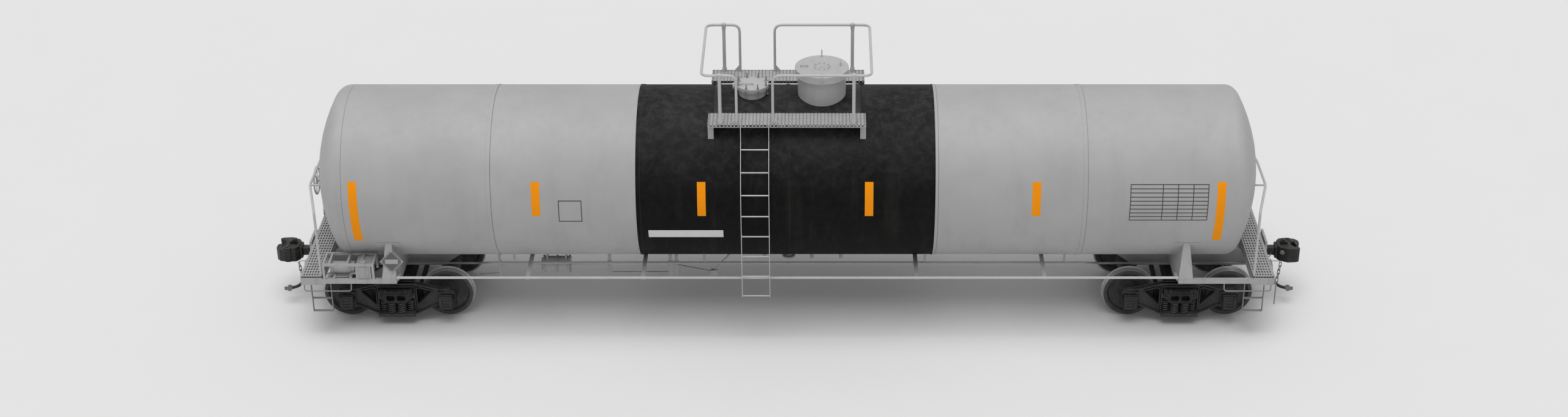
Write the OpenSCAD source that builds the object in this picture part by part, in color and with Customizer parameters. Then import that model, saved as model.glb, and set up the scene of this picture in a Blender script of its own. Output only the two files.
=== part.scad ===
// Railway tank car: insulated, jacketed tank on stub sills and two three-piece trucks.
// +X is the A end, -X the B (brake) end, +Y the left side, +Z up.
// The origin is on the floor under the middle of the car, level with the wheel flanges.

/* [Tank] */
// Length of the jacket between the two head seams
tank_len = 15540; // [12900:10:18700]
// Outside diameter of the insulation jacket
jacket_d = 3048; // [2540:1:3660]
// Lowest line of the jacket above the rail
tank_clear = 1020; // [900:1:1250]
// Number of jacket courses
courses = 6; // [4:1:8]
// Crown radius of the dished heads
crown_r = 3000; // [2600:10:3600]
// Knuckle radius of the dished heads
knuckle_r = 220; // [180:1:264]
// Straight flange of the dished heads
head_skirt = 40; // [30:1:60]
// Width of the lap band over each course seam
lap_w = 70; // [40:1:90]
// Height of the lap band over each course seam
lap_h = 6; // [3:1:10]

/* [Running gear] */
// Wheel diameter on the tread
wheel_d = 914; // [840:1:965]
// Height of the wheel flange above the tread
flange_h = 25; // [22:0.5:29]
// Distance between the two axles of one truck
wheelbase = 1778; // [1700:1:1860]
// Distance from each head seam in to its truck centre
truck_inset = 730; // [600:1:900]
// Half the distance between the two wheel backs
wheel_back = 676; // [660:0.5:690]
// Width of the wheel rim
rim_w = 146; // [133:1:155]
// Distance of each side frame's centre from the middle of the truck
frame_y = 1003; // [985:1:1030]
// Diameter of the roller bearing cartridge
bearing_d = 250; // [208:1:300]
// Diameter of the truck's centre plate
centre_plate_d = 406; // [356:1:420]

/* [Couplers] */
// Coupler centre line above the rail
coupler_h = 876; // [800:1:900]
// Distance from the end platform's outer edge to the striker face
striker_out = 85; // [60:1:110]
// Distance from the striker face to the knuckle nose
coupler_reach = 640; // [560:1:700]
// Distance from the striker face in to the coupler pin
coupler_pin_in = 400; // [330:1:480]
// Diameter of the coupler pin
coupler_pin_d = 90; // [70:1:110]

/* [End platforms] */
// Distance from the head seam out to the platform's inner edge
platform_in = 460; // [400:1:560]
// Width of the end platform along the car
platform_w = 385; // [320:1:460]
// Height of the platform's walking surface above the rail
platform_h = 1200; // [1150:1:1290]
// Height of the end handrail above the rail
end_rail_h = 2480; // [2200:1:2600]
// Diameter of the end and side handrail tube
rail_d = 46; // [32:1:52]

/* [Top fittings] */
// Length of the walkway on top of the tank
walkway_len = 2740; // [2400:1:3200]
// Distance from the middle of the tank to the walkway's inner edge
walkway_in = 640; // [560:1:760]
// Width of each walkway
walkway_w = 470; // [380:1:560]
// Height of the top handrail above the walkway
guard_h = 915; // [850:1:1100]
// Diameter of the top handrail tube
guard_d = 48; // [36:1:54]
// Diameter of the top handrail's posts
guard_post_d = 60; // [42:1:66]
// Manway position along the car
manway_x = -620; // [-800:1:-560]
// Inside diameter of the manway nozzle
manway_bore = 456; // [380:1:520]
// Height of the manway nozzle above the jacket
manway_h = 150; // [120:1:220]
// Valve housing position along the car
housing_x = 605; // [520:1:700]
// Outside diameter of the valve housing
housing_d = 846; // [700:1:900]
// Height of the valve housing above the jacket
housing_h = 410; // [340:1:460]

/* [Ladder] */
// Middle of the ladder along the car
ladder_x = -556; // [-700:1:-400]
// Width of the ladder over its rails
ladder_w = 500; // [420:1:560]
// Distance from the jacket to the ladder's outer face
ladder_out = 100; // [80:1:140]
// Lowest rung above the rail
ladder_low = 860; // [760:1:960]

/* [Hidden] */
$fn = 48;

seat = 0.3;                  // gap between curved pieces that rest on each other
run = 0.05;                  // radial running clearance of the pivots
tank_r = jacket_d / 2;
seam_x = tank_len / 2;
axis_h = up(tank_clear) + tank_r;
tank_top = axis_h + tank_r;
side_y = tank_r - 24;        // outer face of the side sills
plat_x = seam_x + platform_in;
plat_out = plat_x + platform_w;
truck_x = seam_x - truck_inset;
striker_x = plat_out + striker_out;
pin_x = striker_x - coupler_pin_in;
nose_x = striker_x + coupler_reach;
axle_h = flange_h + wheel_d / 2;
sill_top = up(tank_clear) - seat;
sill_low = up(700);
sill_in = 164;               // half the width inside the draft sill
sill_web = 20;
walk_t = 50;
walk_top = max(tank_top - 78, tank_z(walkway_in) + walk_t + 12);
guard_y = walkway_in + walkway_w - 60;
axle_x = wheelbase / 2;

// Height above the floor of a point h above the rail
function up(h) = flange_h + h;
// Centre of the head's crown, measured from the head seam
crown_c = head_skirt - sqrt(pow(crown_r - knuckle_r, 2) - pow(tank_r - knuckle_r, 2));
// Surface of the dished head at distance r from the tank's axis
function head_x(r) = seam_x + crown_c + sqrt(crown_r * crown_r - r * r);
// Half width of the tank at height z
function tank_y(z) = sqrt(max(0, tank_r * tank_r - (z - axis_h) * (z - axis_h)));
// Height of the jacket's upper surface at distance y from the middle
function tank_z(y) = axis_h + sqrt(tank_r * tank_r - y * y);
function unit(v) = v / norm(v);

// Path with every inner corner rounded off over the length r
function rounded(path, r, n = 4) = [for (i = [0:len(path) - 1])
    each (i == 0 || i == len(path) - 1) ? [path[i]] : bend(path[i - 1], path[i], path[i + 1], r, n)];
function bend(a, p, b, r, n) = let (s = p + unit(a - p) * r, e = p + unit(b - p) * r)
    [for (k = [0:n]) let (t = k / n) (1 - t) * (1 - t) * s + 2 * t * (1 - t) * p + t * t * e];

function tangent(p, i) = unit(p[min(i + 1, len(p) - 1)] - p[max(i - 1, 0)]);
function side_of(t, u) = unit(u - t * (u * t));
// Ring of points round each point of the path, the first turned towards the vector up0
function rings(p, r, n, up0) = [for (i = 0, u = side_of(tangent(p, 0), up0); i < len(p);
    i = i + 1, u = side_of(tangent(p, min(i, len(p) - 1)), u))
    let (t = tangent(p, i), v = cross(t, u))
    [for (k = [0:n - 1]) p[i] + r * (u * cos(360 * k / n) + v * sin(360 * k / n))]];

// Round tube of radius r swept along a path
module sweep(p, r, n = 10, up0 = [0.1, 0.2, 1]) {
    all_rings = rings(p, r, n, up0);
    last = len(p) - 1;
    polyhedron(points = [for (ring = all_rings) each ring],
        faces = concat([[for (k = [0:n - 1]) k]], [[for (k = [0:n - 1]) last * n + n - 1 - k]],
            [for (i = [0:last - 1]) for (k = [0:n - 1]) each let (a = i * n + k, b = i * n + (k + 1) % n)
                [[a, a + n, b], [b, a + n, b + n]]]));
}

// Handrail or pipe of diameter d along a path with rounded corners
module pipe(path, d, r = 100, n = 4, up0 = [0.1, 0.2, 1]) {
    sweep(rounded(path, r, n), d / 2, 10, up0);
}

// Straight round rod between two points
module rod(a, b, d) {
    v = b - a;
    translate(a)
        rotate([0, acos(v[2] / norm(v)), atan2(v[1], v[0])])
            cylinder(d = d, h = norm(v));
}

module box(low, high) {
    translate(low)
        cube(high - low);
}

// Children as drawn for the A end (s = 1) or mirrored to the B end (s = -1)
module at_end(s) {
    if (s > 0) children();
    else mirror([1, 0, 0]) children();
}

// Children as drawn for the left side (s = 1) or mirrored to the right side (s = -1)
module at_side(s) {
    if (s > 0) children();
    else mirror([0, 1, 0]) children();
}

// Outline of half the jacket with its lap bands, grown by gap, as [radius, x]
function jacket_outline(gap, extra) = let (r = tank_r + gap, course = tank_len / courses, half = lap_w / 2 + gap)
    concat([[0, -seam_x - extra], [r, -seam_x - extra]],
        [for (i = [1:courses - 1]) let (x = -seam_x + i * course)
            each [[r, x - half], [r + lap_h, x - half], [r + lap_h, x + half], [r, x + half]]],
        [[r, seam_x + extra], [0, seam_x + extra]]);

// Space that the tank takes, with the seat gap round it, cut from all that rests on it
module tank_space() {
    translate([0, 0, axis_h])
        rotate([0, 90, 0])
            rotate_extrude($fn = 360)
                polygon(jacket_outline(seat, 1000));
}

// ---- Tank ----

module tank_jacket() {
    color("silver")
        translate([0, 0, axis_h])
            rotate([0, 90, 0])
                rotate_extrude($fn = 96)
                    polygon(jacket_outline(0, 0));
}

// Dished head: straight flange, knuckle and crown
module tank_head(s) {
    steps = 8;
    join = atan((tank_r - knuckle_r) / (head_skirt - crown_c));
    knuckle = [for (k = [0:steps]) let (a = k * (90 - join) / steps)
        [tank_r - knuckle_r + knuckle_r * cos(a), head_skirt + knuckle_r * sin(a)]];
    crown = [for (k = [1:steps]) let (a = join * (1 - k / steps))
        [crown_r * sin(a), crown_c + crown_r * cos(a)]];
    color("silver")
        at_end(s)
            translate([seam_x, 0, axis_h])
                rotate([0, 90, 0])
                    rotate_extrude($fn = 96)
                        polygon(concat([[0, 0], [tank_r, 0]], knuckle, crown));
}

// ---- Underframe ----

// Draft sill with sloping inner end, top and bottom plates, striker and coupler pin
module stub_sill(s) {
    inner = seam_x - 1970;
    low_in = inner + 450;
    carrier = 40;
    color("gray")
        at_end(s)
            difference() {
                union() {
                    for (w = [-1, 1])
                        translate([0, w * (sill_in + sill_web / 2) + sill_web / 2, 0])
                            rotate([90, 0, 0])
                                linear_extrude(sill_web)
                                    polygon([[inner, sill_top], [low_in, sill_low],
                                        [striker_x - 40, sill_low], [striker_x - 40, sill_top]]);
                    box([inner, -sill_in - 60, sill_top - 20], [striker_x - 40, sill_in + 60, sill_top]);
                    for (w = [-1, 1])
                        box([low_in, w * (sill_in + 28) - 48, sill_low],
                            [striker_x - 40, w * (sill_in + 28) + 48, sill_low + 18]);
                    striker();
                    box([pin_x - 150, -sill_in, up(coupler_h) - 100 - carrier],
                        [pin_x + 150, sill_in, up(coupler_h) - 100]);
                    translate([pin_x, 0, up(coupler_h) - 100 - 10])
                        cylinder(d = coupler_pin_d, h = sill_top - up(coupler_h) + 100);
                    translate([truck_x, 0, sill_low - centre_drop])
                        cylinder(d = centre_plate_d, h = centre_drop + 60, $fn = 64);
                    box([truck_x - 230, -sill_in, sill_low], [truck_x + 230, sill_in, sill_low + 60]);
                }
            }
}
centre_drop = 38;

// Striker casting with the opening that the coupler shank comes out of
module striker() {
    difference() {
        box([striker_x - 40, -250, sill_low - 40], [striker_x, 250, sill_top + 160]);
        box([striker_x - 60, -sill_in + 4, up(coupler_h) - 100], [striker_x + 20, sill_in - 4, up(coupler_h) + 100]);
    }
}

// Cross beam over the truck that cradles the tank, with a tapered outer gusset on a pad plate
module body_bolster(s) {
    w = 250;
    apex_h = up(1750);
    pad_w = 440;
    pad_t = 6;
    pad_y = 600;
    color("silver")
        at_end(s)
            for (side = [-1, 1])
                at_side(side)
                    difference() {
                        union() {
                            intersection() {
                                translate([truck_x - pad_w / 2, 0, axis_h])
                                    rotate([0, 90, 0])
                                        cylinder(r = tank_r + pad_t, h = pad_w, $fn = 360);
                                box([truck_x - pad_w, pad_y, 0], [truck_x + pad_w, 2 * tank_r, apex_h + 30]);
                            }
                            intersection() {
                                translate([truck_x - w / 2, 0, 0])
                                    rotate([90, 0, 90])
                                        linear_extrude(w)
                                            polygon([[sill_in + sill_web, up(870)], [900, up(870)],
                                                [side_y - 60, up(1047)], [side_y, up(1047)], [side_y, up(1160)],
                                                [tank_y(apex_h) + 6, apex_h], [tank_y(apex_h) - 60, apex_h],
                                                [sill_in + sill_web, up(1300)]]);
                                translate([truck_x, 0, 0])
                                    rotate([90, 0, 0])
                                        linear_extrude(4 * side_y, center = true)
                                            polygon([[-w / 2, up(800)], [w / 2, up(800)], [w / 2, up(1180)],
                                                [50, apex_h + 40], [-50, apex_h + 40], [-w / 2, up(1180)]]);
                            }
                        }
                        tank_space();
                        box([truck_x - w, 0, up(700)], [truck_x + w, sill_in + 60 + seat, sill_top + seat]);
                    }
}

sill_bottom = up(1047);
// Side sills from the body bolsters out to the end beams
module side_sills() {
    sill_h = 90;
    color("silver")
        for (s = [-1, 1])
            at_end(s)
                for (side = [-1, 1])
                    at_side(side)
                        box([truck_x + 125, side_y - 60, sill_bottom], [plat_x, side_y, sill_bottom + sill_h]);
}

grating_t = 32;
// Deep end beam: front and back plates joined by cross ribs
module end_beam(s) {
    rib = 20;
    front_t = 25;
    back_t = 30;
    rib_top = up(platform_h) - grating_t;
    color("silver")
        at_end(s) {
            box([plat_x, -side_y, sill_top], [plat_x + back_t, side_y, rib_top]);
            box([plat_out - front_t, -side_y, sill_top], [plat_out, side_y, up(platform_h)]);
            for (y = [-side_y, -side_y / 2 - rib / 2, -sill_in - rib, sill_in, side_y / 2 - rib / 2, side_y - rib])
                box([plat_x + back_t, y, sill_top], [plat_out - front_t, y + rib, rib_top]);
        }
}

// Walking surfaces of the two end platforms and the two top walkways
module gratings() {
    color("gainsboro") {
        for (s = [-1, 1])
            at_end(s)
                box([plat_x, -side_y, up(platform_h) - grating_t], [plat_out - 25, side_y, up(platform_h)]);
        for (side = [-1, 1])
            at_side(side)
                box([-walkway_len / 2, walkway_in, walk_top - walk_t],
                    [walkway_len / 2, walkway_in + walkway_w, walk_top]);
    }
}

// Handrail round the tank's end, from one platform corner to the other
module end_handrail(s) {
    y_post = side_y - 50;
    x_post = plat_x + 20;
    y_mid = 480;
    foot = up(platform_h);
    top = up(end_rail_h);
    x_mid = max(plat_x + 275, head_x(abs(axis_h - top)) + rail_d / 2 + 50);
    strut_d = rail_d - 8;
    strut_x = head_x(norm([y_mid - strut_d / 2, axis_h - top - strut_d / 2])) + seat;
    color("silver")
        at_end(s) {
            pipe([[x_post, -y_post, foot], [x_post, -y_post, top], [x_mid, -y_mid, top], [x_mid, y_mid, top],
                [x_post, y_post, top], [x_post, y_post, foot]], rail_d, 90, 4, [0, 1, 0.1]);
            for (w = [-1, 1])
                rod([strut_x, w * y_mid, top], [x_mid, w * y_mid, top], strut_d);
        }
}

side_rail_y = side_y + 30;
side_rail_z = up(1190);
side_rail_half = truck_x - 140;
// Low handrails along both sides
module side_handrails() {
    color("silver")
        for (side = [-1, 1])
            translate([-side_rail_half, side * side_rail_y, side_rail_z])
                rotate([0, 90, 0])
                    cylinder(d = rail_d, h = 2 * side_rail_half);
}

// Flat brackets welded to the tank: they carry the side handrails and the walkways
module tank_brackets() {
    bar_w = 75;
    leg_w = 100;
    t = 12;
    leg_y = walkway_in + walkway_w - 90;
    rib_in = walkway_in + 120;
    mid_rib_short = 160;
    into = 30;
    low = side_rail_z - rail_d / 2;
    under = walk_top - walk_t;
    color("silver")
        difference() {
            for (side = [-1, 1])
                at_side(side) {
                    for (x = [-4600, -2560, 2280, 4550])
                        box([x - bar_w / 2, tank_y(low) - 60, low - t], [x + bar_w / 2, side_rail_y + t, low]);
                    for (w = [-1, 1]) {
                        box([w * (side_rail_half - 20) - 20, side_y - 190, low - t],
                            [w * (side_rail_half - 20) + 20, side_rail_y + t, low]);
                        leg_x = w * (walkway_len / 2 - leg_w / 2);
                        box([leg_x - leg_w / 2, leg_y - t, tank_z(leg_y) - into], [leg_x + leg_w / 2, leg_y, under]);
                        rib_x = w * (walkway_len - t) / 2;
                        box([rib_x - t / 2, rib_in, tank_z(leg_y) - into], [rib_x + t / 2, leg_y, under]);
                    }
                    box([-t / 2, rib_in, tank_z(leg_y) - into], [t / 2, leg_y - mid_rib_short, under]);
                }
            tank_space();
        }
}

// Curved straps over the tank that the walkways' ends rest on
module walkway_saddles() {
    saddle_t = 10;
    saddle_w = 90;
    end_in = 130;
    half_y = walkway_in + 100;
    color("black")
        difference() {
            for (w = [-1, 1])
                intersection() {
                    translate([w * (walkway_len / 2 - end_in) - saddle_w / 2, 0, axis_h])
                        rotate([0, 90, 0])
                            cylinder(r = tank_r + saddle_t, h = saddle_w, $fn = 360);
                    box([-walkway_len, -half_y, axis_h], [walkway_len, half_y, tank_top + 2 * saddle_t]);
                }
            tank_space();
        }
}

// Hanging sill steps and the low grab irons at one end
module corner_steps(s) {
    x_in = plat_x - 140;
    x_out = plat_x + 220;
    t = 12;
    w = 50;
    y = side_y - 1;
    low = up(487);
    mid = up(748);
    grab = up(910);
    grab_x = plat_x - 500;
    grab_out = plat_x + 330;
    color("silver")
        at_end(s)
            for (side = [-1, 1])
                at_side(side) {
                    box([x_in, y - w, low], [x_in + t, y, sill_bottom]);
                    box([x_out - t, y - w, low], [x_out, y, sill_top]);
                    box([x_in, y - w, low - t], [x_out, y, low]);
                    box([x_in + t, y - w, mid - t], [x_out - t, y, mid]);
                    pipe([[grab_x, y - 12, sill_bottom - 3], [grab_x, y + 22, grab],
                        [grab_out, y + 22, grab], [grab_out, y - 12, sill_top - 3]], 22, 50, 3, [0.1, 1, 0]);
                }
}

// ---- Ladders and top ----

ladder_bar = 50;             // depth and thickness of the ladder's flat rails
ladder_t = 12;
ladder_x0 = ladder_x - ladder_w / 2;
ladder_r = tank_r + ladder_out;
ladder_top_y = walkway_in + walkway_w;
ladder_turn = acos(ladder_top_y / (ladder_r - ladder_bar));
rung_r = ladder_r - ladder_bar / 2;

// Ladder rails that follow the tank's side up to the walkway, on stand-off bars
module ladder(s) {
    arc_out = [for (k = [0:8]) let (a = ladder_turn * k / 8) [ladder_r * cos(a), axis_h + ladder_r * sin(a)]];
    arc_in = [for (k = [8:-1:0]) let (a = ladder_turn * k / 8)
        [(ladder_r - ladder_bar) * cos(a), axis_h + (ladder_r - ladder_bar) * sin(a)]];
    foot = up(ladder_low) - 20;
    color("silver")
        at_side(s)
            for (x = [ladder_x0, ladder_x0 + ladder_w - ladder_t]) {
                translate([x, 0, 0])
                    rotate([90, 0, 90])
                        linear_extrude(ladder_t)
                            polygon(concat([[ladder_r - ladder_bar, foot], [ladder_r, foot]], arc_out,
                                [[ladder_r * cos(ladder_turn), walk_top], [ladder_top_y, walk_top]], arc_in));
                difference() {
                    for (z = [axis_h - 560, axis_h + 300])
                        box([x, tank_y(z) - 60, z - 30], [x + ladder_t, sqrt(pow(rung_r, 2) - pow(max(0, z - axis_h), 2)), z + 30]);
                    tank_space();
                }
            }
}

// Rungs between the rails of both ladders, one pitch apart along the rails
module ladder_rungs() {
    pitch = 400;
    d = 24;
    low_count = floor((axis_h - up(ladder_low)) / pitch);
    past_bend = up(ladder_low) + (low_count + 1) * pitch - axis_h;
    bend_len = rung_r * ladder_turn * PI / 180;
    color("silver")
        for (side = [-1, 1])
            at_side(side) {
                for (i = [0:low_count])
                    translate([ladder_x0 + ladder_t, rung_r, up(ladder_low) + i * pitch])
                        rotate([0, 90, 0])
                            cylinder(d = d, h = ladder_w - 2 * ladder_t);
                for (arc = [past_bend : pitch : bend_len - d])
                    translate([ladder_x0 + ladder_t, rung_r * cos(arc / rung_r * 180 / PI),
                        axis_h + rung_r * sin(arc / rung_r * 180 / PI)])
                        rotate([0, 90, 0])
                            cylinder(d = d, h = ladder_w - 2 * ladder_t);
            }
}

// Loop rail over one half of the walkways, open at the ladder
module top_handrail(s) {
    gap_x = s > 0 ? ladder_x + ladder_w / 2 + 66 : -(ladder_x - ladder_w / 2 - 60);
    loop_x = walkway_len / 2 + 90;
    post_x = s > 0 ? loop_x - 305 : loop_x - 310;
    top = walk_top + guard_h;
    base = walk_top;
    collar_h = 110;
    gusset = 120;
    gusset_t = 10;
    color("silver")
        at_end(s) {
            pipe([[gap_x, -guard_y, base], [gap_x, -guard_y, top], [loop_x, -guard_y, top],
                [loop_x, guard_y, top], [gap_x, guard_y, top], [gap_x, guard_y, base]],
                guard_d, 140, 4, [0, 1, 0.1]);
            for (w = [-1, 1]) {
                translate([post_x, w * guard_y, base])
                    cylinder(d = guard_post_d, h = guard_h - guard_d / 2 + 1);
                translate([post_x, w * guard_y, base])
                    cylinder(d = guard_post_d + 24, h = 75);
                translate([post_x, w * guard_y, top - collar_h])
                    cylinder(d1 = guard_post_d + 2, d2 = guard_post_d + 30, h = collar_h + guard_d / 2);
                translate([gap_x, w * guard_y + gusset_t / 2, base])
                    rotate([90, 0, 0])
                        linear_extrude(gusset_t)
                            polygon([[0, 0], [gusset, 0], [guard_d / 2 - 2, gusset], [0, gusset]]);
            }
        }
}

// ---- Manway ----

cover_d = manway_bore + 110;
module manway_nozzle() {
    wall = 16;
    top = tank_top + manway_h;
    color("silver") {
        difference() {
            union() {
                translate([manway_x, 0, tank_top - 40])
                    cylinder(d = manway_bore + 2 * wall, h = manway_h + 40);
                translate([manway_x, 0, top - 36])
                    cylinder(d = cover_d - 10, h = 36);
                for (w = [-1, 1]) {
                    box([manway_x - cover_d / 2 - 62, w * 50 - 12, top - 36],
                        [manway_x - cover_d / 2 + 20, w * 50 + 12, top]);
                    box([manway_x - cover_d / 2 - 62, w * 50 - 12, top - 36],
                        [manway_x - cover_d / 2 - 14, w * 50 + 12, top + 24]);
                }
            }
            translate([manway_x, 0, tank_top - 60])
                cylinder(d = manway_bore, h = manway_h + 100);
            manway_pin_hole(run);
            tank_space();
        }
    }
}

manway_pin_z = tank_top + manway_h + 6;
manway_pin_x = manway_x - manway_bore / 2 - 55 - 40;
manway_pin_d = 26;
module manway_pin_hole(gap) {
    translate([manway_pin_x, 100, manway_pin_z])
        rotate([90, 0, 0])
            cylinder(d = manway_pin_d + 2 * gap, h = 200);
}

// Cover with a thick rim, hinge leaf and pin
module manway_cover() {
    t = 34;
    low = tank_top + manway_h + 0.5;
    color("silver") {
        translate([manway_x, 0, low])
            cylinder(d = cover_d, h = t);
        translate([manway_x, 0, low + t])
            cylinder(d1 = cover_d - 90, d2 = cover_d - 180, h = 16);
        box([manway_pin_x - 22, -36, low], [manway_x - cover_d / 2 + 30, 36, low + t]);
        translate([manway_pin_x, 75, manway_pin_z])
            rotate([90, 0, 0])
                cylinder(d = manway_pin_d, h = 150);
    }
}

// Swing bolts with eye nuts round the cover's rim
module manway_bolts() {
    count = 8;
    low = tank_top + manway_h + 35;
    color("darkgray")
        for (i = [0:count - 1])
            translate([manway_x, 0, 0])
                rotate([0, 0, 360 / count * (i + 0.5)])
                    translate([cover_d / 2 - 22, 0, low]) {
                        cylinder(d = 34, h = 30);
                        cylinder(d = 20, h = 62);
                    }
}

// ---- Valve housing ----

housing_wall = 14;
lid_d = housing_d + 100;
lid_top = tank_top + housing_h + 100;
lid_low = tank_top + housing_h;
hinge_y = lid_d / 2 + 36;
hinge_z = lid_low - 10;
hinge_d = 30;

module valve_housing() {
    color("silver")
        difference() {
            union() {
                translate([housing_x, 0, tank_top - 100])
                    cylinder(d = housing_d, h = housing_h + 100 - 2, $fn = 64);
                for (w = [-1, 1]) {
                    box([housing_x + w * 90 - 14, housing_d / 2 - 30, hinge_z - 90],
                        [housing_x + w * 90 + 14, hinge_y + 28, hinge_z - 30]);
                    box([housing_x + w * 90 - 14, hinge_y - 24, hinge_z - 90],
                        [housing_x + w * 90 + 14, hinge_y + 28, hinge_z + 24]);
                }
            }
            translate([housing_x, 0, tank_top - 140])
                cylinder(d = housing_d - 2 * housing_wall, h = housing_h + 300, $fn = 64);
            translate([housing_x - 150, hinge_y, hinge_z])
                rotate([0, 90, 0])
                    cylinder(d = hinge_d + 2 * run, h = 300);
            tank_space();
        }
}

// Shallow cap that tips back on the hinge behind it
module housing_lid() {
    rim = 10;
    color("silver") {
        difference() {
            union() {
                translate([housing_x, 0, lid_low - 24])
                    cylinder(d = lid_d, h = lid_top - lid_low + 24, $fn = 64);
                box([housing_x - 70, lid_d / 2 - 60, hinge_z - 6], [housing_x + 70, hinge_y, lid_top - 20]);
            }
            translate([housing_x, 0, lid_low - 60])
                cylinder(d = lid_d - 2 * rim, h = lid_top - lid_low + 60 - rim, $fn = 64);
        }
        translate([housing_x - 130, hinge_y, hinge_z])
            rotate([0, 90, 0])
                cylinder(d = hinge_d, h = 260);
    }
}

// Valves and pipe stubs that stand inside the housing
module housing_fittings() {
    color("dimgray")
        difference() {
            for (p = [[-190, -150], [190, -150], [0, 190], [0, -20]])
                translate([housing_x + p[0], p[1], tank_top - 120]) {
                    cylinder(d = 150, h = 190);
                    cylinder(d = 74, h = 320);
                    translate([0, 0, 320])
                        cylinder(d = 120, h = 30);
                }
            tank_space();
        }
}

// ---- Under the tank ----

// Bottom outlet valve with its cap flange, and the heater coil connections
module bottom_outlet() {
    low = up(tank_clear) - 260;
    color("gray")
        difference() {
            union() {
                translate([0, 0, low])
                    cylinder(d = 240, h = 30);
                translate([0, 0, low])
                    cylinder(d = 150, h = 300);
                translate([0, 0, low + 130])
                    cylinder(d = 280, h = 150);
                for (x = [-430, 420, 950])
                    for (w = [-1, 1])
                        translate([x, w * 330, up(tank_clear) - 110]) {
                            cylinder(d = coil_pipe_d, h = 120);
                            translate([0, 0, coil_pipe_l])
                                cylinder(d = coil_pipe_d + 40, h = 120);
                        }
            }
            translate([0, 0, low - 10])
                cylinder(d = outlet_bore, h = 130);
            for (i = [0:3])
                rotate([0, 0, 45 + 90 * i])
                    translate([outlet_pcd / 2, 0, low - 10])
                        cylinder(d = 18, h = 60);
            tank_space();
        }
}
outlet_bore = 102;
outlet_pcd = 195;
coil_pipe_d = 60;
coil_pipe_l = 80;

// Brake pipe along the car, its hangers and the two angle cocks
module train_line() {
    d = 42;
    y_hose = hose_route[0][1];
    y_mid = -850;
    z_end = up(800);
    z_mid = up(1100);
    x_end = striker_x + 20;
    x_bend = seam_x - 2130;
    aim = unit(hose_route[1] - hose_route[0]);
    outlet = [x_end + 70, y_hose, z_end - 85];
    color("darkgray") {
        pipe([[-x_end, y_hose, z_end], [-x_bend, y_hose, z_end], [-x_bend + 310, y_mid, z_mid],
            [x_bend - 310, y_mid, z_mid], [x_bend, y_hose, z_end], [x_end, y_hose, z_end]],
            d, 110, 4, [0, 0.2, 1]);
        for (s = [-1, 1])
            at_end(s) {
                box([x_end - 4, y_hose - 40, z_end - 40], [x_end + 70, y_hose + 40, z_end + 40]);
                translate([x_end + 40, y_hose, z_end + 38])
                    cylinder(d = 34, h = 40);
                rod(outlet - aim * 80, outlet, 62);
            }
        difference() {
            for (x = [-5180, -4900, -1500, 2450, 4950])
                box([x - 20, y_mid - 6, z_mid + d / 2 - 4], [x + 20, y_mid + 6, z_mid + 400]);
            tank_space();
        }
    }
}

module brake_cylinder() {
    x0 = -4417;
    x1 = -3930;
    y = -600;
    z = up(938);
    color("gray")
        difference() {
            union() {
                translate([x0, y, z])
                    rotate([0, 90, 0])
                        cylinder(d = 280, h = x1 - x0);
                translate([x0 - 30, y, z])
                    rotate([0, 90, 0])
                        cylinder(d = 230, h = 30);
                for (x = [x0 + 60, x1 - 90])
                    box([x, y - 60, z + 100], [x + 30, y + 60, z + 420]);
            }
            tank_space();
        }
}

// Push rods, vertical levers and their brackets between the cylinder and the trucks
module brake_rods() {
    y = -600;
    high = up(938);
    low = up(760);
    color("gray")
        difference() {
            union() {
                rod([-3929.7, y, high], [-3240, y, high], 44);
                rod([-3240, y, low], [-2130, y, low], 34);
                rod([-2130, y, high], [-1340, y, low], 34);
                rod([-5200, y, high], [-4447.3, y, high], 40);
                box([-5240, y - 14, up(700)], [-5180, y + 14, up(1000)]);
                box([-5230, y - 6, up(980)], [-5190, y + 6, up(1300)]);
                rod([-5600, y + 120, up(640)], [-5210, y, up(740)], 34);
                for (x = [-3265, -2170, -2060])
                    box([x, y - 14, up(685)], [x + 80, y + 14, up(1000)]);
                for (x = [-3265, -2170, -2060])
                    box([x + 10, y - 6, up(980)], [x + 70, y + 6, up(1300)]);
                box([-1400, y - 30, up(700)], [-1280, y + 30, up(810)]);
                rod([-1340, y, up(790)], [-1000, y, up(1210)], 34);
            }
            tank_space();
        }
}

// Framed rack beside the B end with the control valve and air reservoir
module brake_rack() {
    x0 = -seam_x - 500;
    x1 = -seam_x + 470;
    y0 = -side_y;
    y1 = -side_y + 440;
    z0 = up(1137);
    z1 = up(1440);
    bar = 40;
    color("silver") {
        for (x = [x0 + 60, x1 - bar])
            for (y = [y0, y1 - bar])
                box([x, y, z0], [x + bar, y + bar, z1]);
        for (y = [y0, y1 - bar])
            box([x0 + 60, y, z1 - bar], [x1, y + bar, z1]);
        for (x = [x0 + 60, x0 + 160, x0 + 480, x0 + 720, x1 - bar])
            box([x, y0, z1 - bar], [x + bar, y1, z1]);
        box([x1 - 330, y0 + 10, z0], [x1 - 60, y1 - 60, z1 - bar]);
        translate([x0 + 170, y0 + 220, z0 + 130])
            rotate([0, 90, 0])
                cylinder(d = 210, h = 430);
        for (x = [x0 + 230, x0 + 520])
            box([x, y0 + 20, z0], [x + bar, y1 - 20, z0 + 30]);
    }
}

// Hand brake: gear case on a post at the left of the B end, with its wheel facing out
module hand_brake() {
    x = -plat_out + 60;
    wheel_x = -plat_out - 75;
    y = 800;
    z = up(1890);
    rim_r = 250;
    color("gray") {
        box([x - 50, y - 110, z - 190], [x + 50, y + 110, z + 150]);
        box([x - 20, y - 30, up(platform_h)], [x + 20, y + 30, z - 180]);
        translate([wheel_x - 20, y, z])
            rotate([0, 90, 0])
                cylinder(d = 56, h = x - wheel_x);
        translate([wheel_x, y, z])
            rotate([0, 90, 0])
                rotate_extrude()
                    translate([rim_r, 0])
                        circle(d = 30);
        for (a = [0:60:120])
            translate([wheel_x, y, z])
                rotate([a, 0, 0])
                    box([-8, -rim_r, -9], [8, rim_r, 9]);
    }
}

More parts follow.
